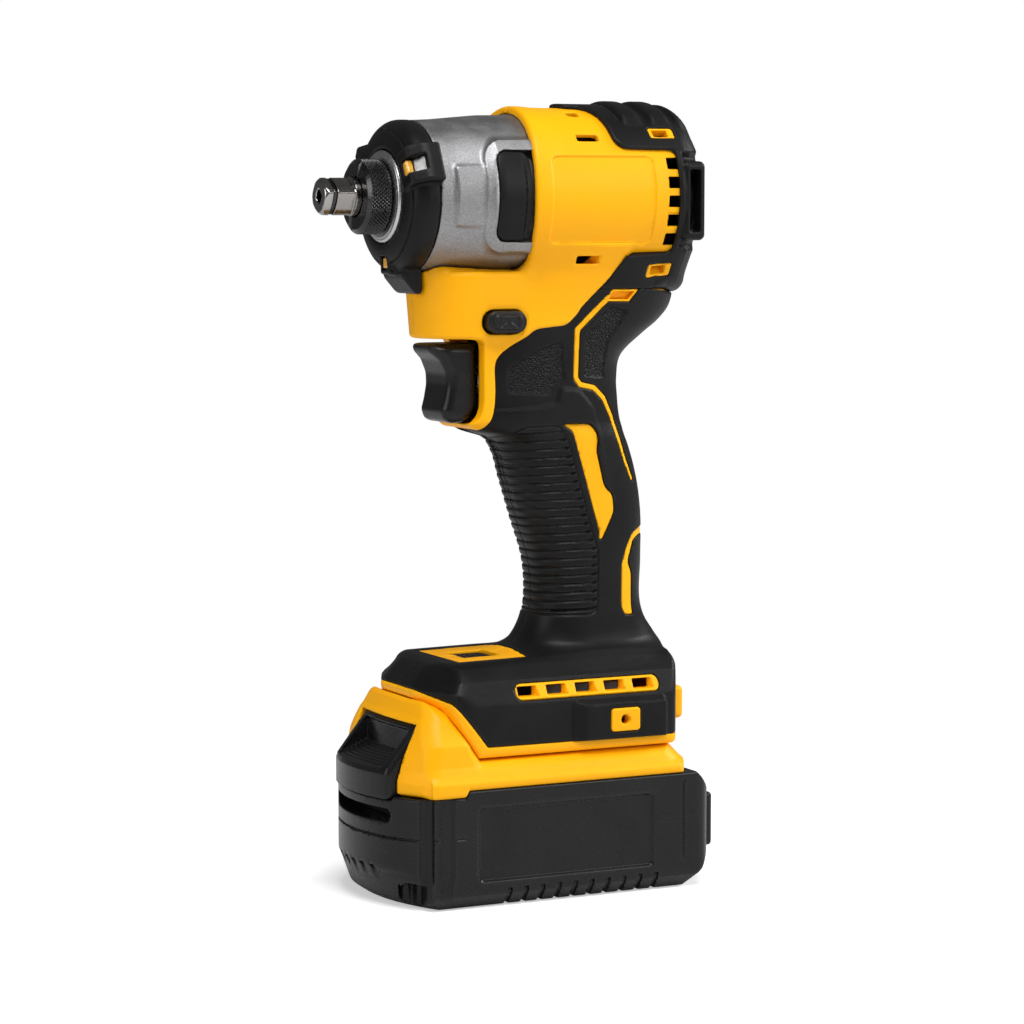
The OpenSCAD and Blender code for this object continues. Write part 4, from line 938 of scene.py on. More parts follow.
def neck_details(d, q):
    """Trigger opening, room of the switch, hole of the direction button and a notch in the chin."""
    x, y, z = q
    d = cut(d, trigger_window(x, z), 0.6)
    d = cut(d, box(q, *SWITCH_ROOM), 0.3)
    pill = rectangle(x, z, *BUTTON_HOLE, 4.0)
    d = cut(d, shared(pill - 0.8, 17.6 - y + 0.35 * pill), 0.4)
    d = cut(d, shared(pill, 2 - y), 0.3)
    return cut(d, box(q, *CHIN_NOTCH, 0.6), 0.2)


def grip_room(d, q):
    """Hollow of the grip."""
    return cut(d, shared(handle_form(q) + SKIN_T + GRIP_WALL, between(q[2], *GRIP_ROOM_Z)), 0.3)


def foot_details(d, q):
    """Hollow of the foot, rail channel, room of the terminals, selector well, vents and hook holes."""
    x, y, z = q
    d = cut(d, box(q, *FOOT_ROOM), 0.3)
    d = cut(d, rails(q, 0.4), 0.2)
    d = cut(d, box(q, *TERMINAL_ROOM), 0.2)
    half_x, half_y = SELECTOR_WELL
    d = cut(d, box(q, (SELECTOR_X - half_x, -half_y, 72), (SELECTOR_X + half_x, half_y, 90), 0.4), 0.35)
    for centre in VENT_SLOTS:
        floor = 31.0 - 7.0 * np.clip((x - centre + VENT_SLOT_HALF) / 3.0, 0, 1)
        slot = rectangle(x, z, centre - VENT_SLOT_HALF, centre + VENT_SLOT_HALF, *VENT_SLOT_Z, 0.4)
        d = cut(d, shared(slot, floor - y), 0.25)
    hole = length(x - HOOK[0], z - HOOK[1])
    d = cut(d, shared(hole - HOOK_HOLE_R, 20 - y), 0.3)
    return cut(d, shared(hole - HOOK_SEAT_R, between(y, *HOOK_SEAT_Y)), 0.1)


def housing_field(p):
    """One half of the yellow housing, on the +Y side."""
    x, y = p[0], p[1]
    d = locally(yellow_surface(p), p, (-52, -3, 195), (14, 40, 270), head_details)
    d = locally(d, p, (-49, -3, 200), (-33, 40, 262), window_frames)
    r = axis_r(p)
    d = cut(d, shared(r - HEAD_BORE_R, between(x, -60, 11)), 0.2)
    case_r = np.interp(x, [18, 35, 41.4], [CASE_R, 25.6, 25.3]).astype(np.float32)
    d = cut(d, shared(r - case_r - 0.25, 5.5 - x), 0.3)
    # Room behind the head for the cap and its bumper
    d = cut(d, shared(r - HEAD_R - BOOT_T - 0.15, x - HEAD_BACK + 0.05), 0.1)
    d = locally(d, p, (-20, -3, 150), (56, 32, 212), neck_details)
    d = locally(d, p, (-60, -3, 74), (30, 32, 165), grip_room)
    d = locally(d, p, (-60, -3, 40), (60, 42, 86), foot_details)
    return meet(d, 0.05 - y, 0.22)


def with_wells(field):
    """The same half with wells for the screws that enter from the right."""
    def drilled(p):
        d = field(p)
        for sx, sz in CASE_SCREWS:
            d = locally(d, p, (sx - 6, -2, sz - 6), (sx + 6, 42, sz + 6), lambda e, q: cut(
                e, shared(length(q[0] - sx, q[2] - sz) - SCREW_WELL_R, SCREW_SEAT_Y - q[1]), 0.3))
        return d
    return drilled


# Rubber skin

RIB_PITCH = 2.9
RIB_START_Z = 94.2
FOOT_PAD = (-38.6, -3.0, 51.0, 66.2)
LABEL = (6.6, 22.4, 55.6, 63.4)

rib_panel, raised_zone = sheet(RIB_PANEL, 2.0), sheet(RAISED_ZONE, 1.5)
pebble_front, pebble_rear = sheet(PEBBLE_FRONT, 1.0), sheet(PEBBLE_REAR, 1.0)


def from_line(z):
    """Distance to the nearest of the grip's evenly spaced grooves."""
    t = z - RIB_START_Z
    return np.abs(t - RIB_PITCH * np.round(t / RIB_PITCH))


def side_ribs(d, q):
    """Grooves across the side of the grip, longer notches at their rear ends and a seam round the panel."""
    x, z = q[0], q[2]
    panel = rib_panel(x, z)
    inside = np.clip(-panel / 0.8, 0, 1)
    t = from_line(z + 0.05 * (x + 10))
    rear = np.clip((2.4 + panel) / 0.6, 0, 1) * (x < -6)
    groove = 0.42 * np.exp(-(t / 0.3) ** 2) + 0.5 * rear * np.exp(-(t / 0.5) ** 4)
    return d + np.minimum((groove + 0.15) * inside + 0.5 * np.exp(-(panel / 0.3) ** 2), 0.95)


def front_ribs(d, q):
    """Grooves across the front of the grip."""
    x, z = q[0], q[2]
    front, = along_handle(z, HANDLE_FRONT)
    ahead = np.clip((x - front + 4.5) / 1.5, 0, 1)
    span = np.clip((z - 93) / 3, 0, 1) * np.clip((152 - z) / 3, 0, 1)
    return d + 0.28 * np.exp(-(from_line(z) / 0.4) ** 2) * ahead * span


def foot_marks(d, q):
    """Raised pad on the side of the foot, and the groove round the label's place."""
    x, y, z = q
    pad = rectangle(x, z, *FOOT_PAD, 2.4)
    rise = np.clip(np.minimum(-pad / 1.5, (FOOT_PAD[1] - x) / 4.4), 0, 1)
    d = join(d, shared(pad, 25 - y, y - FOOT_HALF - 2.0 * rise), 0.6)
    label = np.abs(rectangle(x, z, *LABEL, 1.5)) - 0.22
    return cut(d, shared(label, FOOT_HALF - 0.35 - y), 0.1)


def neck_ridge(d, q):
    """Raised zone round the badge and the ribs."""
    fade = np.clip((q[2] - 126) / 20, 0, 1)
    return d - 0.6 * fade * np.clip(0.5 - raised_zone(q[0], q[2]) / 1.6, 0, 1)


def texture_beds(d, q):
    """Shallow beds of the leather texture."""
    for bed in (pebble_front(q[0], q[2]), pebble_rear(q[0], q[2])):
        d = d + 0.28 * np.clip(0.5 - bed / 0.5, 0, 1)
    return d


def skin_field(p):
    """Rubber over one half of the grip, the neck and the foot."""
    x, y, z = p
    outer = neck_form(p)
    d = locally(outer.copy(), p, (-32, 3, 124), (26, 32, 174), neck_ridge)
    d = locally(d, p, (-28, -3, 88), (32, 32, 162), side_ribs)
    d = locally(d, p, (-12, -3, 88), (32, 12, 158), front_ribs)
    d = locally(d, p, (-47, 20, 45), (32, 42, 74), foot_marks)
    d = locally(d, p, (-38, 4, 158), (22, 32, 202), texture_beds)
    d = shared(d, -(outer + SKIN_T))
    d = meet(d, -front_region(x, z), 0.45)
    d = meet(d, -foot_rim(x, z), 0.45)
    d = meet(d, -accents(p), 0.4)
    d = cut(d, axis_r(p) - HEAD_R - 0.05, 0.1)
    d = meet(d, 0.06 - bumper_seam(p), np.where(x < -38, 0.6, 0.06))
    d = cut(d, box(p, *REAR_BUMP, 1.8) - 0.1, 0.3)
    return meet(d, 0.05 - y, 0.22)


def pebble_mark(p):
    """Where the rubber has its leather texture, with a trace of it on the foot."""
    x, z = p[0], p[2]
    bed = np.minimum(pebble_front(x, z), pebble_rear(x, z))
    foot = np.clip((86 - z) / 12, 0, 1) * 0.12
    return np.maximum(np.where(bed < -0.3, 1.0, 0.0), foot)


# Rear bumper and cap

LUG = ((-53.9, 18, 218.4), (-45.2, 30.3, 244.8))
LUG_SLOT = ((-51.8, 25, 221.2), (-47.8, 40, 242.0))
CAP_GROOVE_R = 15
CAP_BORE_R = 24.0

bumper_cover = sheet(BUMPER_COVER, 1.8)
cap_section = sheet([
    (BUMPER_BACK + 0.9, -3), (BUMPER_BACK + 0.9, 19.5), (-53.4, 24.2), (-50.4, 26.8), (-46.1, 27.6),
    (-46.1, 25.2), (-50.0, 24.6), (-52.2, 22.2), (-53.2, 18), (-53.2, 11), (-49.5, 11), (-49.5, 8.06),
    (-53.8, 8.06), (-53.8, -3),
])


def bumper_field(p):
    """Rubber round the rear of the head, with ribs on top and a lug on each side."""
    q = np.stack(folded(p))
    x, z = q[0], q[2]
    r, arc = axis_r(p), axis_arc(p)
    cover = np.minimum(bumper_cover(x, arc), shared(z - COVER_LOW_Z, -front_region(x, z)))
    d = meet(bumper_body(p), cover, 0.8)
    d = meet(d, bumper_seam(p), 0.06 + 5.0 * np.clip((-38 - x) / 8, 0, 1))
    d = meet(d, -accents(p), 0.3)
    d = join(d, box(q, *LUG, 2.0), 0.8)
    d = cut(d, box(q, *LUG_SLOT, 0.8), 0.5)
    for centre in WINDOW_ARCS:
        d = cut(d, shared(bumper_window(x, arc, centre), 26 - r), 0.35)
    d = cut(d, shared(r - HEAD_R - 0.05, HEAD_BACK - 0.05 - x), 0.1)
    d = cut(d, cap_section(x, r) - 0.1, 0.1)
    d = cut(d, r - CAP_BORE_R, 0.1)
    return cut(d, neck_form(p) + SKIN_T, 0.1)


def cap_field(p):
    """Cap at the rear of the head, with the seat of the rear bearing and a turned groove."""
    x, r = p[0], axis_r(p)
    return cut(cap_section(x, r), shared(np.abs(r - CAP_GROOVE_R) - 0.5, x - BUMPER_BACK - 0.7), 0.2)


# Nose

PAD = (9.7, 22.0, 218.2, 248.0)
PAD_CROWN_R = 28.2
PAD_BED_R = 25.2
CASE_PLATE = (25.4, 35.8, 223.8, 242.6)
LAMP_RING_R = (16.4, 19.2)
LAMP_RING_X = (47.7, 48.9)
# Bores of the gear case: radius, rear and front end
CASE_BORES = [(21.6, -1, 9.1), (21.3, 9, 29), (20.7, 28.9, 37.4), (10.2, 36, 60)]

case_section = sheet([
    (0.3, -3), (0.3, 27.5), (6.4, 27.5), (6.8, CASE_R), (18, 26.9), (35, 25.4), (41.4, 25.1), (41.4, 22.8),
    (44, 22.8), (47.4, NOSE_R), (47.5, 10.3), (47.5, -3),
])
ring_section = sheet([
    (47.6, 10.3), (47.6, NOSE_R), (NOSE_X - 0.9, NOSE_R), (NOSE_X - 0.2, 14.6), (NOSE_X - 0.2, 13.9),
    (NOSE_X, 13.6), (NOSE_X, 10.3),
], 0.3)


def case_side(d, q):
    """Raised rim round a pad, the pad's bed and a plate in front of it."""
    x, z = q[0], q[2]
    r = axis_r(q)
    pad = rectangle(x, z, PAD[0] - 12, *PAD[1:], 4.0)
    top = np.interp(x, [9, 21, 27], [28.8, 28.4, 26.6])
    rim = shared(pad - 3.6, -pad - 0.1, r - top, 23 - r)
    d = join(d, meet(rim, 7.6 - x, 0.3), 1.5)
    plate = meet(rectangle(x, z, *CASE_PLATE, 0.8), r - 26.2, 0.4)
    d = join(d, shared(plate, 22 - r), 1.8)
    return cut(d, shared(pad, PAD_BED_R - r), 0.5)


def case_field(p):
    """Cast gear case with a raised rim round each pad."""
    x, r = p[0], axis_r(p)
    d = case_section(x, r)
    for low, high in ((10, 40), (-40, -10)):
        d = locally(d, p, (5, low, 205), (40, high, 262), case_side)
    for bore, x0, x1 in CASE_BORES:
        d = cut(d, shared(r - bore, between(x, x0, x1)), 0.1)
    return d


def nose_ring_field(p):
    """Turned ring round the anvil, in front of the gear case."""
    return ring_section(p[0], axis_r(p))


def lamp_ring_field(p):
    """Ring board of the lamps, inside the boot."""
    return meet(tube(axis_r(p), *LAMP_RING_R), between(p[0], *LAMP_RING_X), 0.15)


def pad_field(p):
    """Rubber pads in the sides of the gear case."""
    x, y, z = folded(p)
    r = axis_r(p)
    shape = rectangle(x, z, PAD[0] + 0.1, PAD[1] - 0.2, PAD[2] + 0.2, PAD[3] - 0.2, 3.8)
    crown = PAD_CROWN_R - 0.25 * np.clip((shape + 2.5) / 2.5, 0, 1)
    d = meet(meet(shape, r - crown, 0.7), PAD_BED_R + 0.1 - r, 0.2)
    d = cut(d, shared(np.abs(x - 12.3) - 0.18, 27.9 - r), 0.1)
    return shared(d, 10 - y)


BOOT_X = 41.4
BOOT_R = 25.2
BOOT_GROOVE_R = 21.9

# Corners of lugs, wells, chips and mirrors of the lamps, as x, the way round and the distance from the axis
SIDE_LAMP = {
    "lug": ((40.8, -6.8, 17), (52.2, 6.8, 27.7)), "well": ((46.4, -2.8, 19.6), (60, 2.8, 40)),
    "chip": ((49.5, -2.4, 19.7), (52.0, 2.4, 22.6)), "mirror": ((46.3, -2.75, 19.5), (49.3, 2.75, 25.6)),
}
LOW_LAMP = {
    "lug": ((40.4, -8.0, 17), (48.0, 8.0, 32.0)), "well": ((48.0, -2.1, 19.6), (60, 2.1, 24.0)),
    "chip": ((48.0, -1.7, 20.0), (50.6, 1.7, 23.6)), "mirror": ((47.2, -2.05, 19.7), (48.0, 2.05, 23.9)),
    "front": ((41.4, -3.6, 17), (50.8, 3.6, 25.6)),
}
# The lamps by their angles from the top
LAMPS = {64.8: SIDE_LAMP, -64.8: SIDE_LAMP, 180: LOW_LAMP}

boot_section = sheet([
    (BOOT_X + 0.1, NOSE_R + 0.1), (BOOT_X + 0.1, BOOT_R), (46.8, BOOT_R), (49.4, 23.8), (51.0, 21.2),
    (51.8, 17.6), (51.6, NOSE_R + 0.1),
], 1.6)


def lamp_frame(p, angle):
    """Coordinates at a lamp: x, the way round and the distance from the drive axis."""
    a = math.radians(angle)
    y, z = p[1], p[2] - AXIS_Z
    return p[0], y * math.cos(a) - z * math.sin(a), y * math.sin(a) + z * math.cos(a)


def lamp_lug(q, lamp):
    """Lug of a lamp with its outer edge sloped, and at the bottom one with a narrow front."""
    x, w = q[0], q[2]
    lug = box(q, *lamp["lug"], 1.1 if lamp is SIDE_LAMP else 1.2)
    if lamp is SIDE_LAMP:
        return meet(lug, 0.5 * (x - 47.2) + 0.866 * (w - 27.2), 0.8)
    lug = meet(lug, 0.75 * (x - 46.9) + 0.66 * (w - 27.5), 0.8)
    return join(lug, box(q, *lamp["front"], 1.0), 0.8)


def boot_field(p):
    """Rubber boot on the nose, with a lug for each lamp."""
    x, r = p[0], axis_r(p)
    d = boot_section(x, r)
    d = cut(d, shared(np.abs(r - BOOT_GROOVE_R) - 0.3, 50.2 - x), 0.2)
    for angle, lamp in LAMPS.items():
        q = lamp_frame(p, angle)
        well = box(q, *lamp["well"], 0.5 if lamp is SIDE_LAMP else 0.6)
        d = cut(join(d, lamp_lug(q, lamp), 0.9), well, 0.35)
    d = cut(d, lamp_ring_field(p) - 0.1, 0.1)
    d = cut(d, shared(r - 25.3, x - BOOT_X - 0.05), 0.1)
    d = cut(d, shared(r - 22.9, x - 44.05), 0.1)
    cone = r - np.interp(x, [44, 47.4], [22.9, NOSE_R + 0.1]).astype(np.float32)
    return cut(d, shared(cone, x - 47.4, 43 - x), 0.1)


def lamp_field(p):
    """Three lamp chips with domed lenses."""
    chips = [box(lamp_frame(p, angle), *lamp["chip"], 0.7) for angle, lamp in LAMPS.items()]
    return np.minimum.reduce(chips)


def reflector_field(p):
    """Bright wells behind the lamps, which also close them below."""
    wedges = []
    for angle, lamp in LAMPS.items():
        q = lamp_frame(p, angle)
        slant = 0.8 * (q[0] - 48.0) + 0.6 * (q[2] - 23.6)
        wedges.append(meet(box(q, *lamp["mirror"], 0.2), slant, 0.3))
    return np.minimum.reduce(wedges)


# Drive and locking sleeve

DRIVE_TURN = math.radians(57)
DRIVE_HALF = 5.45
DRIVE_CORNER_R = 6.45
DRIVE_GROOVE = (69.8, 71.3)
DRIVE_END = 74.2
SQUARE_START = 62.6
TIP_CHAMFER_X = 72.9
TIP_HOLE_R = 2.2
TIP_HOLE_END = 66
NECK_R = 6.4
NECK_X = (50, 63.4)
JOURNAL_R = 7.9
JOURNAL_END = 53.6
WING_X = (32, 36.5)
WING_HALF = 5
WING_R = 19.5
FLANGE_R = 9.5
CAM_BORE_R = 4.0
CAM_BORE_END = 37.6
CLIP_R = (6.42, 8.4)
CLIP_X = (58.8, 59.8)
SLEEVE = (52.9, 61.4)
SLEEVE_R = 12.5
KNURL_LENGTH = 6.4
KNURL_DEPTH = 0.6


def drive_square(p):
    """Section of the square, turned about its axis, with its corners rounded."""
    y, z = p[1], p[2] - AXIS_Z
    u = y * math.cos(DRIVE_TURN) + z * math.sin(DRIVE_TURN)
    v = z * math.cos(DRIVE_TURN) - y * math.sin(DRIVE_TURN)
    return meet(shared(np.abs(u), np.abs(v)) - DRIVE_HALF, axis_r(p) - DRIVE_CORNER_R, 1.7)


def drive_field(p):
    """Anvil and its square drive, with the ring groove and the centre hole."""
    x, r = p[0], axis_r(p)
    square = drive_square(p)
    end = meet(square, x - DRIVE_END, 0.8)
    end = meet(end, r - DRIVE_CORNER_R + np.maximum(x - TIP_CHAMFER_X, 0) * 0.9, 0.3)
    d = join(shared(end, SQUARE_START - x), shared(r - NECK_R, between(x, *NECK_X)), 0.4)
    d = join(d, shared(r - JOURNAL_R, between(x, WING_X[0], JOURNAL_END)), 0.3)
    wings = shared(np.abs(p[2] - AXIS_Z) - WING_HALF, r - WING_R)
    d = np.minimum(d, shared(np.minimum(wings, r - FLANGE_R), between(x, *WING_X)))
    d = cut(d, shared(between(x, *DRIVE_GROOVE), -1.1 - square), 0.15)
    d = cut(d, shared(r - TIP_HOLE_R, TIP_HOLE_END - x), 0.3)
    return cut(d, shared(r - CAM_BORE_R, x - CAM_BORE_END), 0.1)


def drive_ring_field(p):
    """Ring in the groove of the drive."""
    square = drive_square(p)
    d = meet(square + 0.35, between(p[0], DRIVE_GROOVE[0] + 0.12, DRIVE_GROOVE[1] - 0.12), 0.4)
    return shared(d, -1.05 - square)


def sleeve_clip_field(p):
    """Clip inside the locking sleeve."""
    return meet(tube(axis_r(p), *CLIP_R), between(p[0], *CLIP_X), 0.2)


def sleeve_spring_field(p):
    """Spring inside the locking sleeve."""
    x0, x1, pitch, mean_r, wire_r = 54.9, 58.5, 1.4, 7.5, 0.4
    turn = np.arctan2(p[1], p[2] - AXIS_Z) / (2 * np.pi)
    t = (p[0] - x0) / pitch - turn
    along = pitch * (t - np.round(t))
    return shared(length(axis_r(p) - mean_r, along) - wire_r, between(p[0], x0, x1))


def knurled_sleeve():
    """Locking sleeve: diamond knurl, a chamfer in front, and two pits in its face."""
    x0, x1, r = SLEEVE[0] + 0.05, SLEEVE[1], SLEEVE_R
    around, rows, teeth = 720, 130, 60
    knurl = [x0 + 0.9 + KNURL_LENGTH * k / rows for k in range(rows + 1)]
    profile = [(8.6, x0), (r - 0.8, x0), (r - 0.4, x0 + 0.4)] + [(r, x) for x in knurl]
    profile += [(r - 0.3, x1 - 1.0), (r - 1.7, x1), (6.9, x1), (6.9, x1 - 1.0), (8.9, x1 - 1.0)]
    profile += [(8.9, x0 + 1.7), (6.5, x0 + 1.7), (6.5, x0 + 0.9), (8.6, x0 + 0.9)]
    theta = np.arange(around) * 2 * np.pi / around
    pits = sum(np.exp(-((np.mod(theta - a + np.pi, 2 * np.pi) - np.pi) / 0.12) ** 4) for a in (0.45, 3.55))
    points = []
    for radius, x in profile:
        lift, sink = np.zeros(around), np.zeros(around)
        if radius == r:
            lead = (x - x0) / KNURL_LENGTH * 2 * np.pi * 4.5
            turns = [(theta * teeth + way * lead) / (2 * np.pi) for way in (1, -1)]
            one, two = (np.abs(np.mod(turn, 1) - 0.5) * 2 for turn in turns)
            lift = -KNURL_DEPTH * (1 - np.sqrt(one * two))
        if x == x1 and radius > 7:
            sink = 1.0 * pits
        rad = radius + lift
        points.append(np.stack([x - sink, rad * np.sin(theta), AXIS_Z + rad * np.cos(theta)]))
    n = len(profile)
    i, j = (a.ravel() for a in np.meshgrid(np.arange(n), np.arange(around), indexing="ij"))
    after, beside = (i + 1) % n, (j + 1) % around
    quads = np.stack([i * around + j, after * around + j, after * around + beside, i * around + beside], 1)
    mesh = mesh_of("sleeve_knurled", np.concatenate(points, 1), quads, np.empty((0, 3), int))
    mesh.set_sharp_from_angle(angle=math.radians(28))
    return mesh


# Hook tubes, trigger and buttons

HOOK_TUBE_R = (1.7, 3.9)
HOOK_TUBE_Y = (24.5, 31.3)
TRIGGER_HALF = 10.4
PLUNGER_Z = 172
PLUNGER_R = 3
PLUNGER_X = (6.5, 29)
SPRING_ROOM_R = 6
SPRING_ROOM_END = 27.5
BUTTON = (8.3, 22.8, 188.1, 195.5)
BUTTON_FACE = (10.0, 20.6, 189.4, 194.2)
BUTTON_CENTRE = (15.3, 191.8)
BUTTON_END = 20.2
BUTTON_FACE_END = 20.9
SELECTOR_HALF = (6.15, 7.15)
SELECTOR_Z = (74, 78.9)
SELECTOR_GROOVE = (79.2, 0.75)
SELECTOR_PITCH = 1.9

trigger_side = sheet(TRIGGER, 1.0)


def hook_tube_field(p):
    """Threaded tubes behind the hook holes."""
    hole = length(p[0] - HOOK[0], p[2] - HOOK[1])
    return meet(tube(hole, *HOOK_TUBE_R), between(np.abs(p[1]), *HOOK_TUBE_Y), 0.2)


def trigger_field(p):
    """Trigger with a finger groove, its plunger and the room of the spring round that."""
    x, y, z = folded(p)
    crown = TRIGGER_HALF - 2.4 * np.clip((x - 30.5) / 7.5, 0, 1) ** 2
    d = meet(trigger_side(x, z), y - crown, 3.0)
    r = length(p[1], z - PLUNGER_Z)
    d = cut(d, shared(r - SPRING_ROOM_R, x - SPRING_ROOM_END), 0.2)
    return join(d, shared(r - PLUNGER_R, between(x, *PLUNGER_X)), 0.3)


def button_field(p):
    """Direction button, a bar through the housing with a raised pad and arrows at each end."""
    x, y, z = p[0] + 0.3, np.abs(p[1]), p[2]
    d = meet(rectangle(x, z, *BUTTON, 3.7), y - BUTTON_END, 0.8)
    d = join(d, meet(rectangle(x, z, *BUTTON_FACE, 2.2), y - BUTTON_FACE_END, 0.5), 0.4)
    for s in (-1, 1):
        tip = s * (x - BUTTON_CENTRE[0])
        arrow = shared(np.abs(z - BUTTON_CENTRE[1]) - 0.75 * (tip - 0.8), tip - 3.6, 0.8 - tip)
        d = cut(d, shared(arrow, 20.72 - y), 0.1)
    return d


def selector_field(p):
    """Speed selector in the foot, with grip ribs."""
    (half_x, half_y), (low, high), (groove_z, groove_r) = SELECTOR_HALF, SELECTOR_Z, SELECTOR_GROOVE
    d = box(p, (SELECTOR_X - half_x, -half_y, low), (SELECTOR_X + half_x, half_y, high), 0.6)
    for k in range(-2, 3):
        groove = length(p[0] - SELECTOR_X - SELECTOR_PITCH * k, p[2] - groove_z) - groove_r
        d = cut(d, shared(groove, np.abs(p[1]) - 5.2), 0.15)
    return d


# Battery pack

LATCH_KNEE = (63.2, 46.4)
LATCH_TOP = (50.2, 60.0)
LATCH_LOW_Z = 36.4
LATCH_RIM = 3.4
LATCH_RIB_PITCH = 1.5
LATCH_RIB_DEPTH = 0.24
latch_rise = math.dist(LATCH_KNEE, LATCH_TOP)
LATCH_WAY = ((LATCH_TOP[0] - LATCH_KNEE[0]) / latch_rise, (LATCH_TOP[1] - LATCH_KNEE[1]) / latch_rise)
PACK_PANEL = (-33.0, 33.8, 7.9, 34.4)
PACK_LINE_Z = 23.8
PACK_LINE_X = -43.6
CORNER_X = 40.8
SIDE_NOTCH = (21.5, 6.1)
FRONT_NOTCH_PITCH = 6.2
FRONT_SLOT = (-21, 21, 28.6, 33.2)
SCREW_POCKET = ((49.5, 24.0, -4), (70, 31.5, 9.2))
REAR_PLATE = ((PACK_BACK - 2.6, -9, 12.5), (PACK_BACK + 3, 29.5, 31.0))
LOWER_ROOM = ((-47.5, -32.9, 2.5), (47.4, 32.9, 45))
UPPER_ROOM = ((-47.6, -32.9, 30), (47.4, 32.9, PACK_TOP - 2.5))
UPPER_WALL = 1.6
UPPER_BACK = PACK_BACK + 6.6
BLADES_Y = (-12, -6, 0, 6, 12)
SCREW_HOLE_R = 1.2
SCREW_HOLE_TOPS = (34.8, 60)
SCREW_TIPS = (34.2, 40.8)
SCREW_HEAD_R = 2.0
SCREW_HEAD_Z = (10.4, 11.9)
THREAD_R = 1.02
THREAD_DEPTH = 0.12
THREAD_PITCH = 0.9

latch_side = sheet([
    (63.8, LATCH_LOW_Z), (63.8, 44.6), LATCH_KNEE, LATCH_TOP, (45.6, LATCH_TOP[1]), (45.4, 57), (50, 46.6),
    (54.4, 41), (55.2, LATCH_LOW_Z),
])
latch_space = sheet([
    (90, LATCH_LOW_Z - 0.3), (90, LATCH_TOP[1] + 0.4), (42.4, LATCH_TOP[1] + 0.4), (42.4, 57), (44.6, 46.6),
    (48.4, 41), (50.5, LATCH_LOW_Z - 0.3),
])
lower_across = sheet([(-9, 0), (31, 0), (34.3, 4.5), (PACK_HALF, 12), (PACK_HALF, 60), (-9, 60)])
lower_side = sheet([
    (PACK_BACK + 10, 0), (PACK_BACK + 3.6, 6), (PACK_BACK, 12), (PACK_BACK, 33.0), (UPPER_BACK, PACK_SPLIT),
    (40.2, PACK_SPLIT), (43.1, FRONT_SPLIT), (80, FRONT_SPLIT), (80, 30), (PACK_FRONT - 0.8, 12),
    (PACK_FRONT - 4.2, 3), (PACK_FRONT - 8.8, 0),
])
upper_side = sheet([
    (80, FRONT_SPLIT + 0.1), (43.2, FRONT_SPLIT + 0.1), (40.3, PACK_SPLIT + 0.1),
    (UPPER_BACK, PACK_SPLIT + 0.1), (UPPER_BACK, 42.8), (PACK_BACK + 12.6, PACK_TOP), (30.7, PACK_TOP),
    (40.9, 64.6), (47.3, 67.8), (48.6, 66.6), (50.0, 62.6), (59.4, 47.8), (62.2, 42.2), (62.2, FRONT_SPLIT),
])
upper_across = sheet([
    (-9, 30), (PACK_HALF, 30), (PACK_HALF, 44), (33.6, 47.4), (32.6, 54.4), (25.5, 65.6), (21, 72), (-9, 72),
])


def lower_side_marks(d, q):
    """Panel, parting line, grooves and bottom notches on the side of the pack."""
    x, y, z = folded(q)
    panel = rectangle(x, z, *PACK_PANEL, 2.4)
    d = cut(d, shared(panel, PACK_HALF - 1.5 * np.clip(-panel / 1.7, 0, 1) - y), 0.25)
    d = cut(d, shared(CORNER_X - x, PACK_HALF - 1.4 * np.clip((x - CORNER_X) / 2.0, 0, 1) - y), 0.3)
    d = cut(d, shared(np.abs(z - PACK_LINE_Z) - 0.3, 2.2 - panel, PACK_HALF - 0.45 - y), 0.12)
    d = cut(d, shared(np.abs(x - PACK_LINE_X) - 0.35, between(z, 10, 37), PACK_HALF - 0.7 - y), 0.3)
    first, pitch = SIDE_NOTCH
    notch = np.abs(x - first - pitch * np.round((x - first) / pitch)) - 0.8
    return cut(d, shared(notch, between(x, -36.5, 24.6), z - 6.2, -0.9 - lower_across(y, z)), 0.25)


def lower_front_marks(d, q):
    """Slot under the latch, corner columns, slanted notches and screw pockets at the front of the pack."""
    x, y, z = folded(q)
    depth = pack_plan(q, 0)
    d = cut(d, shared(np.abs(z - PACK_LINE_Z) - 0.3, -0.6 - depth), 0.2)
    d = cut(d, shared(rectangle(y, z, *FRONT_SLOT, 2.0), 53.5 - x), 0.4)
    d = cut(d, shared(length(x - 52.2, y - 34.2) - 3.0, z - 60), 0.6)
    lean = q[1] - 0.35 * (12 - z)
    notch = np.abs(lean - FRONT_NOTCH_PITCH * np.round(lean / FRONT_NOTCH_PITCH)) - 1.3
    d = cut(d, shared(notch, np.abs(lean) - 16, between(z, 1.0, 13.5), -1.5 - depth), 0.6)
    return cut(d, box((x, y, z), *SCREW_POCKET, 1.4), 0.5)


def lower_shell_field(p):
    """Black lower half of the pack."""
    x, y, z = folded(p)
    d = meet(meet(pack_plan(p, 0), lower_across(y, z), 1.2), lower_side(unbowed(p), z), 0.9)
    d = join(d, box((x, y, z), *REAR_PLATE, 1.4), 0.5)
    for low, high in ((24, 47), (-47, -24)):
        d = locally(d, p, (-50, low, -4), (47, high, 42), lower_side_marks)
    d = locally(d, p, (38, -42, -4), (68, 42, 38), lower_front_marks)
    # The room for the cells keeps a lid over their rear ends
    lid = shared(38.4 - z, x - tapered(p) + 47.6)
    d = cut(d, shared(box(p, *LOWER_ROOM), lower_across(y, z) + 2.4, -lid), 0.2)
    for (sx, sy), top in zip(PACK_SCREWS, SCREW_HOLE_TOPS):
        well = length(x - sx, y - sy)
        d = cut(d, shared(well - SCREW_HOLE_R, between(z, 3, top)), 0.1)
        d = cut(d, shared(well - 2.1, z - 12), 0.2)
    return cut(d, latch_room(p), 0.4)


def latch_room(p):
    """Pocket that the latch moves in, open to the front."""
    return shared(latch_space(unbowed(p), p[2]), np.abs(p[1]) - LATCH_HALF - 0.45)


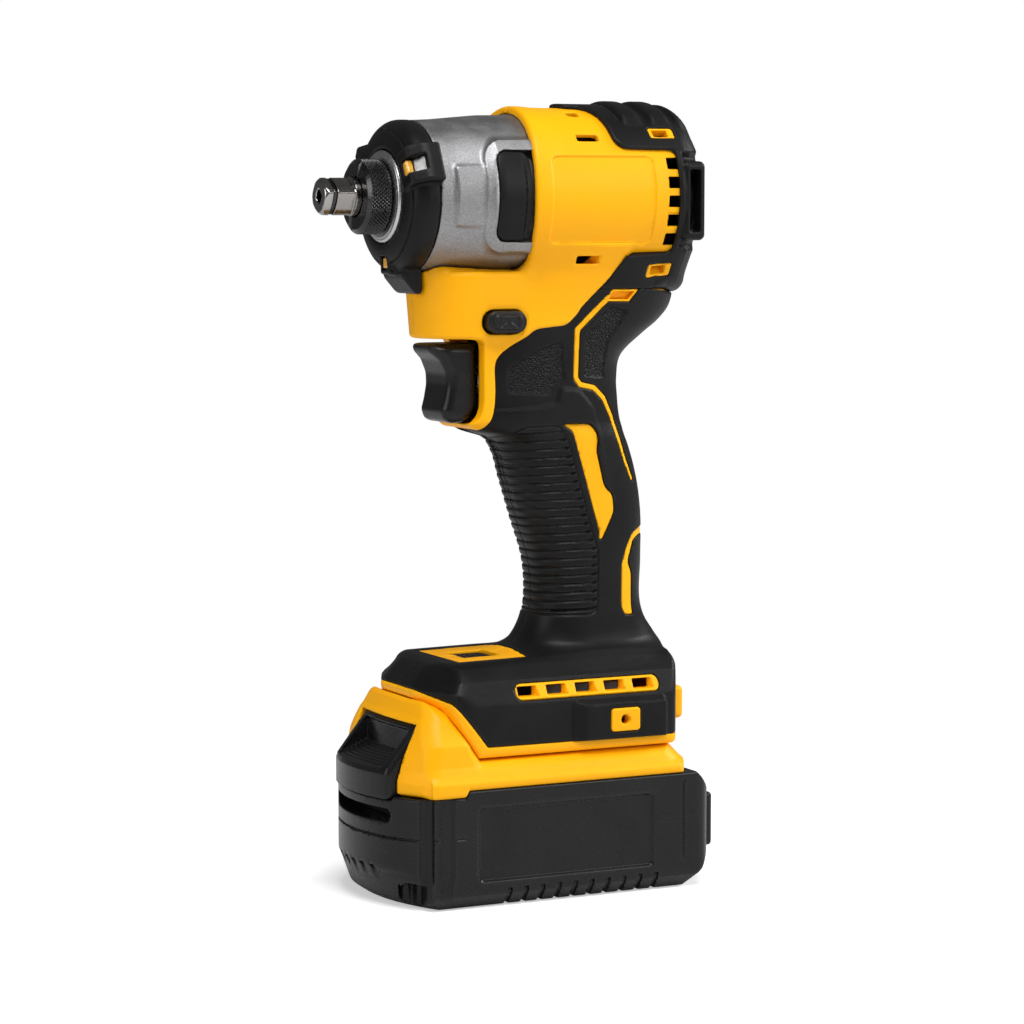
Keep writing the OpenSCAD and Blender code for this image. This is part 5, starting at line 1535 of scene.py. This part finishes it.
def upper_shell_field(p):
    """Yellow upper half of the pack, with its rails."""
    x, y, z = folded(p)
    side = upper_side(unbowed(p) - tapered(p), z)
    d = meet(meet(pack_plan(p, 0.1), upper_across(y, z), 3.0), side, 4.5)
    band = meet(pack_plan(p, -0.3), between(z, 30, 43.6), 2.0)
    band = meet(shared(band, x - 50), side, 1.5)
    wall = np.minimum(d, band) + UPPER_WALL
    d = np.minimum(join(d, band, 1.2), rails(p, 0.0))
    for blade in BLADES_Y:
        d = locally(d, p, (-32, blade - 3, 50), (-7, blade + 3, 63), lambda e, q: cut(
            e, box(q, (-30, blade - 1.15, 54), (-10, blade + 1.15, 62)), 0.1))
    d = cut(d, shared(box(p, *UPPER_ROOM), wall), 0.2)
    sx, sy = PACK_SCREWS[1]
    d = cut(d, shared(length(x - sx, y - sy) - SCREW_HOLE_R, z - 42), 0.1)
    return cut(d, latch_room(p), 0.6)


def pack_screw_field(p):
    """Four screws of the pack with star sockets, of which the rear pair ends under the shell's slope."""
    x, y, z = folded(p)
    screws = []
    for (sx, sy), tip in zip(PACK_SCREWS, SCREW_TIPS):
        u, v = x - sx, y - sy
        r = length(u, v)
        turn = np.arctan2(v, u)
        thread = THREAD_R + THREAD_DEPTH * np.cos(2 * np.pi * z / THREAD_PITCH - turn)
        screw = meet(shared(r - thread, between(z, 11.5, tip)), 0.8 * (z - tip) + 0.6 * (r - 0.5), 0.1)
        head = meet(r - SCREW_HEAD_R, between(z, *SCREW_HEAD_Z), 0.3)
        socket = shared(r - 0.95 - 0.15 * np.cos(6 * turn), z - 11.3)
        screws.append(cut(np.minimum(screw, head), socket, 0.05))
    return np.minimum.reduce(screws)


def latch_field(p):
    """Release latch: an upright band below, and a ribbed finger hollow in the slope above it."""
    y, z = np.abs(p[1]), p[2]
    x = unbowed(p)
    d = meet(latch_side(x, z), y - LATCH_HALF, 1.6)
    dx, dz = x - LATCH_KNEE[0], z - LATCH_KNEE[1]
    up = dx * LATCH_WAY[0] + dz * LATCH_WAY[1]
    out = dx * LATCH_WAY[1] - dz * LATCH_WAY[0]
    ribs = LATCH_RIB_DEPTH * np.sin(2 * np.pi * up / LATCH_RIB_PITCH)
    ribs = ribs * np.clip(up - 1, 0, 1) * np.clip(10.5 - up, 0, 1)
    floor = np.interp(up, [0, 11, 16.8, 18], [0.2, 5.3, 1.2, 0.4]) + ribs
    hollow = rectangle(p[1], up, LATCH_RIM - LATCH_HALF, LATCH_HALF - LATCH_RIM, 0.4, 17.0, 2.0)
    return cut(d, shared(hollow, -floor - out), 0.4)


# Pieces: name, field, box, grid cell, material, body and the CAD node that each stands for

HALF_BOX = ((-60, 0, 44), (62, 37, 266))
SKIN_BOX = ((-62, 0, 44), (56, 37, 204))


def build_halves():
    """Both halves of the housing and of its skin, with screw wells in the right ones."""
    for side, field in (("left", housing_field), ("right", with_wells(housing_field))):
        shell(f"housing_{side}_shell", field, *HALF_BOX, 0.5, YELLOW, "housing", f"housing_{side}",
              mirror=side == "right")
    for side, field in (("left", skin_field), ("right", with_wells(skin_field))):
        shell(f"skin_{side}_rubber", field, *SKIN_BOX, 0.45, RUBBER, "housing", f"grip_skin_{side}",
              mirror=side == "right", marks={"pebble": pebble_mark})


def build_head():
    """Bumper, cap, gear case, nose and lamps, with the hook tubes."""
    body = "housing"
    shell("bumper_rubber", bumper_field, (-60, -34, 198), (-6, 34, 268), 0.5, RUBBER, body, "rear_bumper")
    shell("rear_cap_moulding", cap_field, (-58, -29, 204), (-45, 29, 262), 0.6, BLACK, body, "rear_cap")
    shell("gear_case_casting", case_field, (0, -30, 203), (54, 30, 263), 0.45, CAST, body, "gear_case")
    shell("side_pads_rubber", pad_field, (8, -31, 216), (24, 31, 250), 0.35, RUBBER, body, "side_pads")
    shell("nose_boot_rubber", boot_field, (38, -30, 199), (54, 30, 264), 0.4, RUBBER, body, "nose_boot")
    shell("lamp_chips", lamp_field, (44, -26, 206), (53, 26, 250), 0.25, AMBER, body, "lamp_lenses")
    shell("nose_ring", nose_ring_field, (47, -16, 217), (53, 16, 249), 0.3, NOSE, body)
    shell("lamp_ring", lamp_ring_field, (47, -20, 212), (50, 20, 254), 0.4, BOARD, body, "lamp_board")
    shell("lamp_reflectors", reflector_field, (41, -28, 206), (51, 28, 252), 0.25, MIRROR, body)
    shell("hook_tubes", hook_tube_field, (-28, -32, 54), (-18, 32, 64), 0.3, CONTACT, body, "hook_inserts")


def build_drive():
    """Anvil with its ring, and the locking sleeve with its clip and spring."""
    shell("anvil_drive", drive_field, (31, -21, 212), (75, 21, 254), 0.3, DRIVE, "anvil", "anvil")
    shell("drive_ring", drive_ring_field, (68, -8, 225), (73, 8, 241), 0.2, OXIDE, "anvil", "friction_ring")
    shell("clip_ring", sleeve_clip_field, (58, -9, 224), (61, 9, 242), 0.3, STEEL, "anvil", "sleeve_clip")
    shell("spring_coil", sleeve_spring_field, (54, -9, 224), (59, 9, 242), 0.2, STEEL, "anvil",
          "sleeve_spring")
    place("sleeve_knurled", knurled_sleeve(), OXIDE, "sleeve", "lock_sleeve")


def build_controls():
    """Trigger, direction button and speed selector."""
    shell("trigger_moulding", trigger_field, (5, -12, 158), (40, 12, 186), 0.35, BLACK, "trigger", "trigger")
    shell("direction_bar", button_field, (7, -22, 187), (25, 22, 197), 0.3, BLACK, "direction",
          "direction_button")
    shell("selector_key", selector_field, (12, -8, 74), (25, 8, 81), 0.3, BLACK, "selector", "speed_selector")


def build_pack():
    """Shells, screws and latch of the battery pack."""
    shell("pack_lower_moulding", lower_shell_field, (-59, -37, -1), (64, 37, 41), 0.5, PACK, "pack",
          "pack_lower_shell")
    shell("pack_upper_moulding", upper_shell_field, (-56, -37, 32), (64, 37, 70), 0.5, YELLOW, "pack",
          "pack_upper_shell")
    shell("pack_screw_set", pack_screw_field, (-53, -31, 10), (57, 31, 41), 0.25, OXIDE, "pack",
          "pack_screws")
    shell("latch_moulding", latch_field, (40, -22, 35), (63, 22, 63), 0.3, PACK, "latch", "release_latch")


# Materials of the CAD nodes that stay

KEPT_NODES = [
    (STEEL, ["gear_case_screws", "bearing_plate", "front_bearing", "rear_bearing", "ring_gear",
             "anvil_washer", "stator", "trigger_spring", "rotor_shaft", "rotor_core", "cam_carrier",
             "planet_pins", "cam_balls", "hammer_spring", "latch_spring"]),
    (STEEL, [f"planet_gear_{k}" for k in (1, 2, 3)]),
    (OXIDE, ["housing_screws", "rotor_magnets"]),
    (BLACK, ["switch_body", "terminal_block", "fan", "cell_holder"]),
    (BOARD, ["sensor_board", "control_board", "pack_board"]),
    (CONTACT, ["terminal_blades", "pack_terminals"]),
    (BRONZE, ["anvil_bush"]),
    (COPPER, ["windings"]),
    (CAST, ["heat_sink"]),
    (DRIVE, ["hammer"]),
    (CELL_WRAP, ["cells"]),
]


def dress_nodes():
    """Gives each CAD node that stays its material."""
    for material, names in KEPT_NODES:
        for name in names:
            mesh = frame["nodes"][name].data
            mesh.materials.clear()
            mesh.materials.append(material)


# Stage, light and camera, in metres

WORLD_LIGHT = 0.12
FLOOR_HALF = 6.0
FLOOR_DROP = 0.0001
FLOOR_FADE = (0.12, 0.4)
FLOOR_GLOW = 0.45
LAMP_AIM = (0.0, 0.0, 0.13)
# Lamps: name, place, size and power
STUDIO_LAMPS = [
    ("key", (0.2, 0.8, 1.6), 0.9, 23),
    ("side", (-0.9, 1.2, 0.7), 0.8, 6.5),
    ("front", (1.4, 0.1, 0.6), 0.8, 5),
    ("rim", (-1.3, 0.2, 0.9), 0.7, 12),
]
CAMERA_AT = (0.4991, 0.9935, 0.2318)
CAMERA_AIM = (0.0185, 0.0295, 0.130)
SENSOR_MM = 36.0
LENS_MM = 116.0


def light_switch(tree, seen, lit):
    """Shows one shader to the camera, and another to the light."""
    camera_ray = add_node(tree, "ShaderNodeLightPath", "Is Camera Ray", {})
    return add_node(tree, "ShaderNodeMixShader", "Shader", {"Fac": camera_ray, 1: lit, 2: seen})


def build_world():
    """White backdrop with a weak light of its own."""
    world = bpy.data.worlds.new("studio")
    bpy.context.scene.world = world
    world.use_nodes = True
    tree = world.node_tree
    shaders = []
    for strength in (1.0, WORLD_LIGHT):
        inputs = {"Color": (1, 1, 1), "Strength": strength}
        shaders.append(add_node(tree, "ShaderNodeBackground", "Background", inputs))
    wire(tree, tree.nodes["World Output"].inputs["Surface"], light_switch(tree, *shaders))


def floor_material():
    """Pale and matt round the object, and white away from it, so the floor runs into the backdrop."""
    material, tree, shader, where = principled("pale_floor", (0.82, 0.82, 0.82), 0.9, gloss=0.0)
    matt = shader.outputs["BSDF"]
    glow = add_node(tree, "ShaderNodeEmission", "Emission", {"Strength": FLOOR_GLOW})
    near = add_node(tree, "ShaderNodeAddShader", "Shader", {0: matt, 1: glow})
    white = add_node(tree, "ShaderNodeEmission", "Emission", {})
    away = add_node(tree, "ShaderNodeVectorMath", "Value", {0: where}, operation="LENGTH")
    fade = {"Fac": ramp(tree, away, *FLOOR_FADE, 0, 1), 1: near, 2: white}
    shown = light_switch(tree, add_node(tree, "ShaderNodeMixShader", "Shader", fade), matt)
    wire(tree, tree.nodes["Material Output"].inputs["Surface"], shown)
    return material


def build_floor():
    """Floor under the object, which keeps its shadow."""
    a = FLOOR_HALF
    mesh = bpy.data.meshes.new("floor")
    mesh.from_pydata([(-a, -a, 0), (a, -a, 0), (a, a, 0), (-a, a, 0)], [], [(0, 1, 2, 3)])
    mesh.materials.append(floor_material())
    floor = bpy.data.objects.new("floor", mesh)
    floor.location.z = -FLOOR_DROP
    bpy.context.scene.collection.objects.link(floor)


def add_aimed(name, data, at, aim):
    """Adds a lamp or a camera that looks from one place to another."""
    thing = bpy.data.objects.new(name, data)
    thing.location = at
    thing.rotation_euler = (Vector(aim) - Vector(at)).to_track_quat("-Z", "Y").to_euler()
    bpy.context.scene.collection.objects.link(thing)
    return thing


def build_lights():
    """Soft round lamps."""
    for name, at, size, power in STUDIO_LAMPS:
        data = bpy.data.lights.new(name, "AREA")
        data.shape = "DISK"
        data.size = size
        data.energy = power
        add_aimed(name, data, at, LAMP_AIM)


def build_camera():
    """Camera at the photo's view."""
    data = bpy.data.cameras.new("camera")
    data.sensor_width = SENSOR_MM
    data.lens = LENS_MM
    bpy.context.scene.camera = add_aimed("camera", data, CAMERA_AT, CAMERA_AIM)


build_camera()
build_world()
build_lights()
build_floor()
build_halves()
build_head()
build_drive()
build_controls()
build_pack()
dress_nodes()

bpy.context.scene.view_settings.view_transform = "Standard"
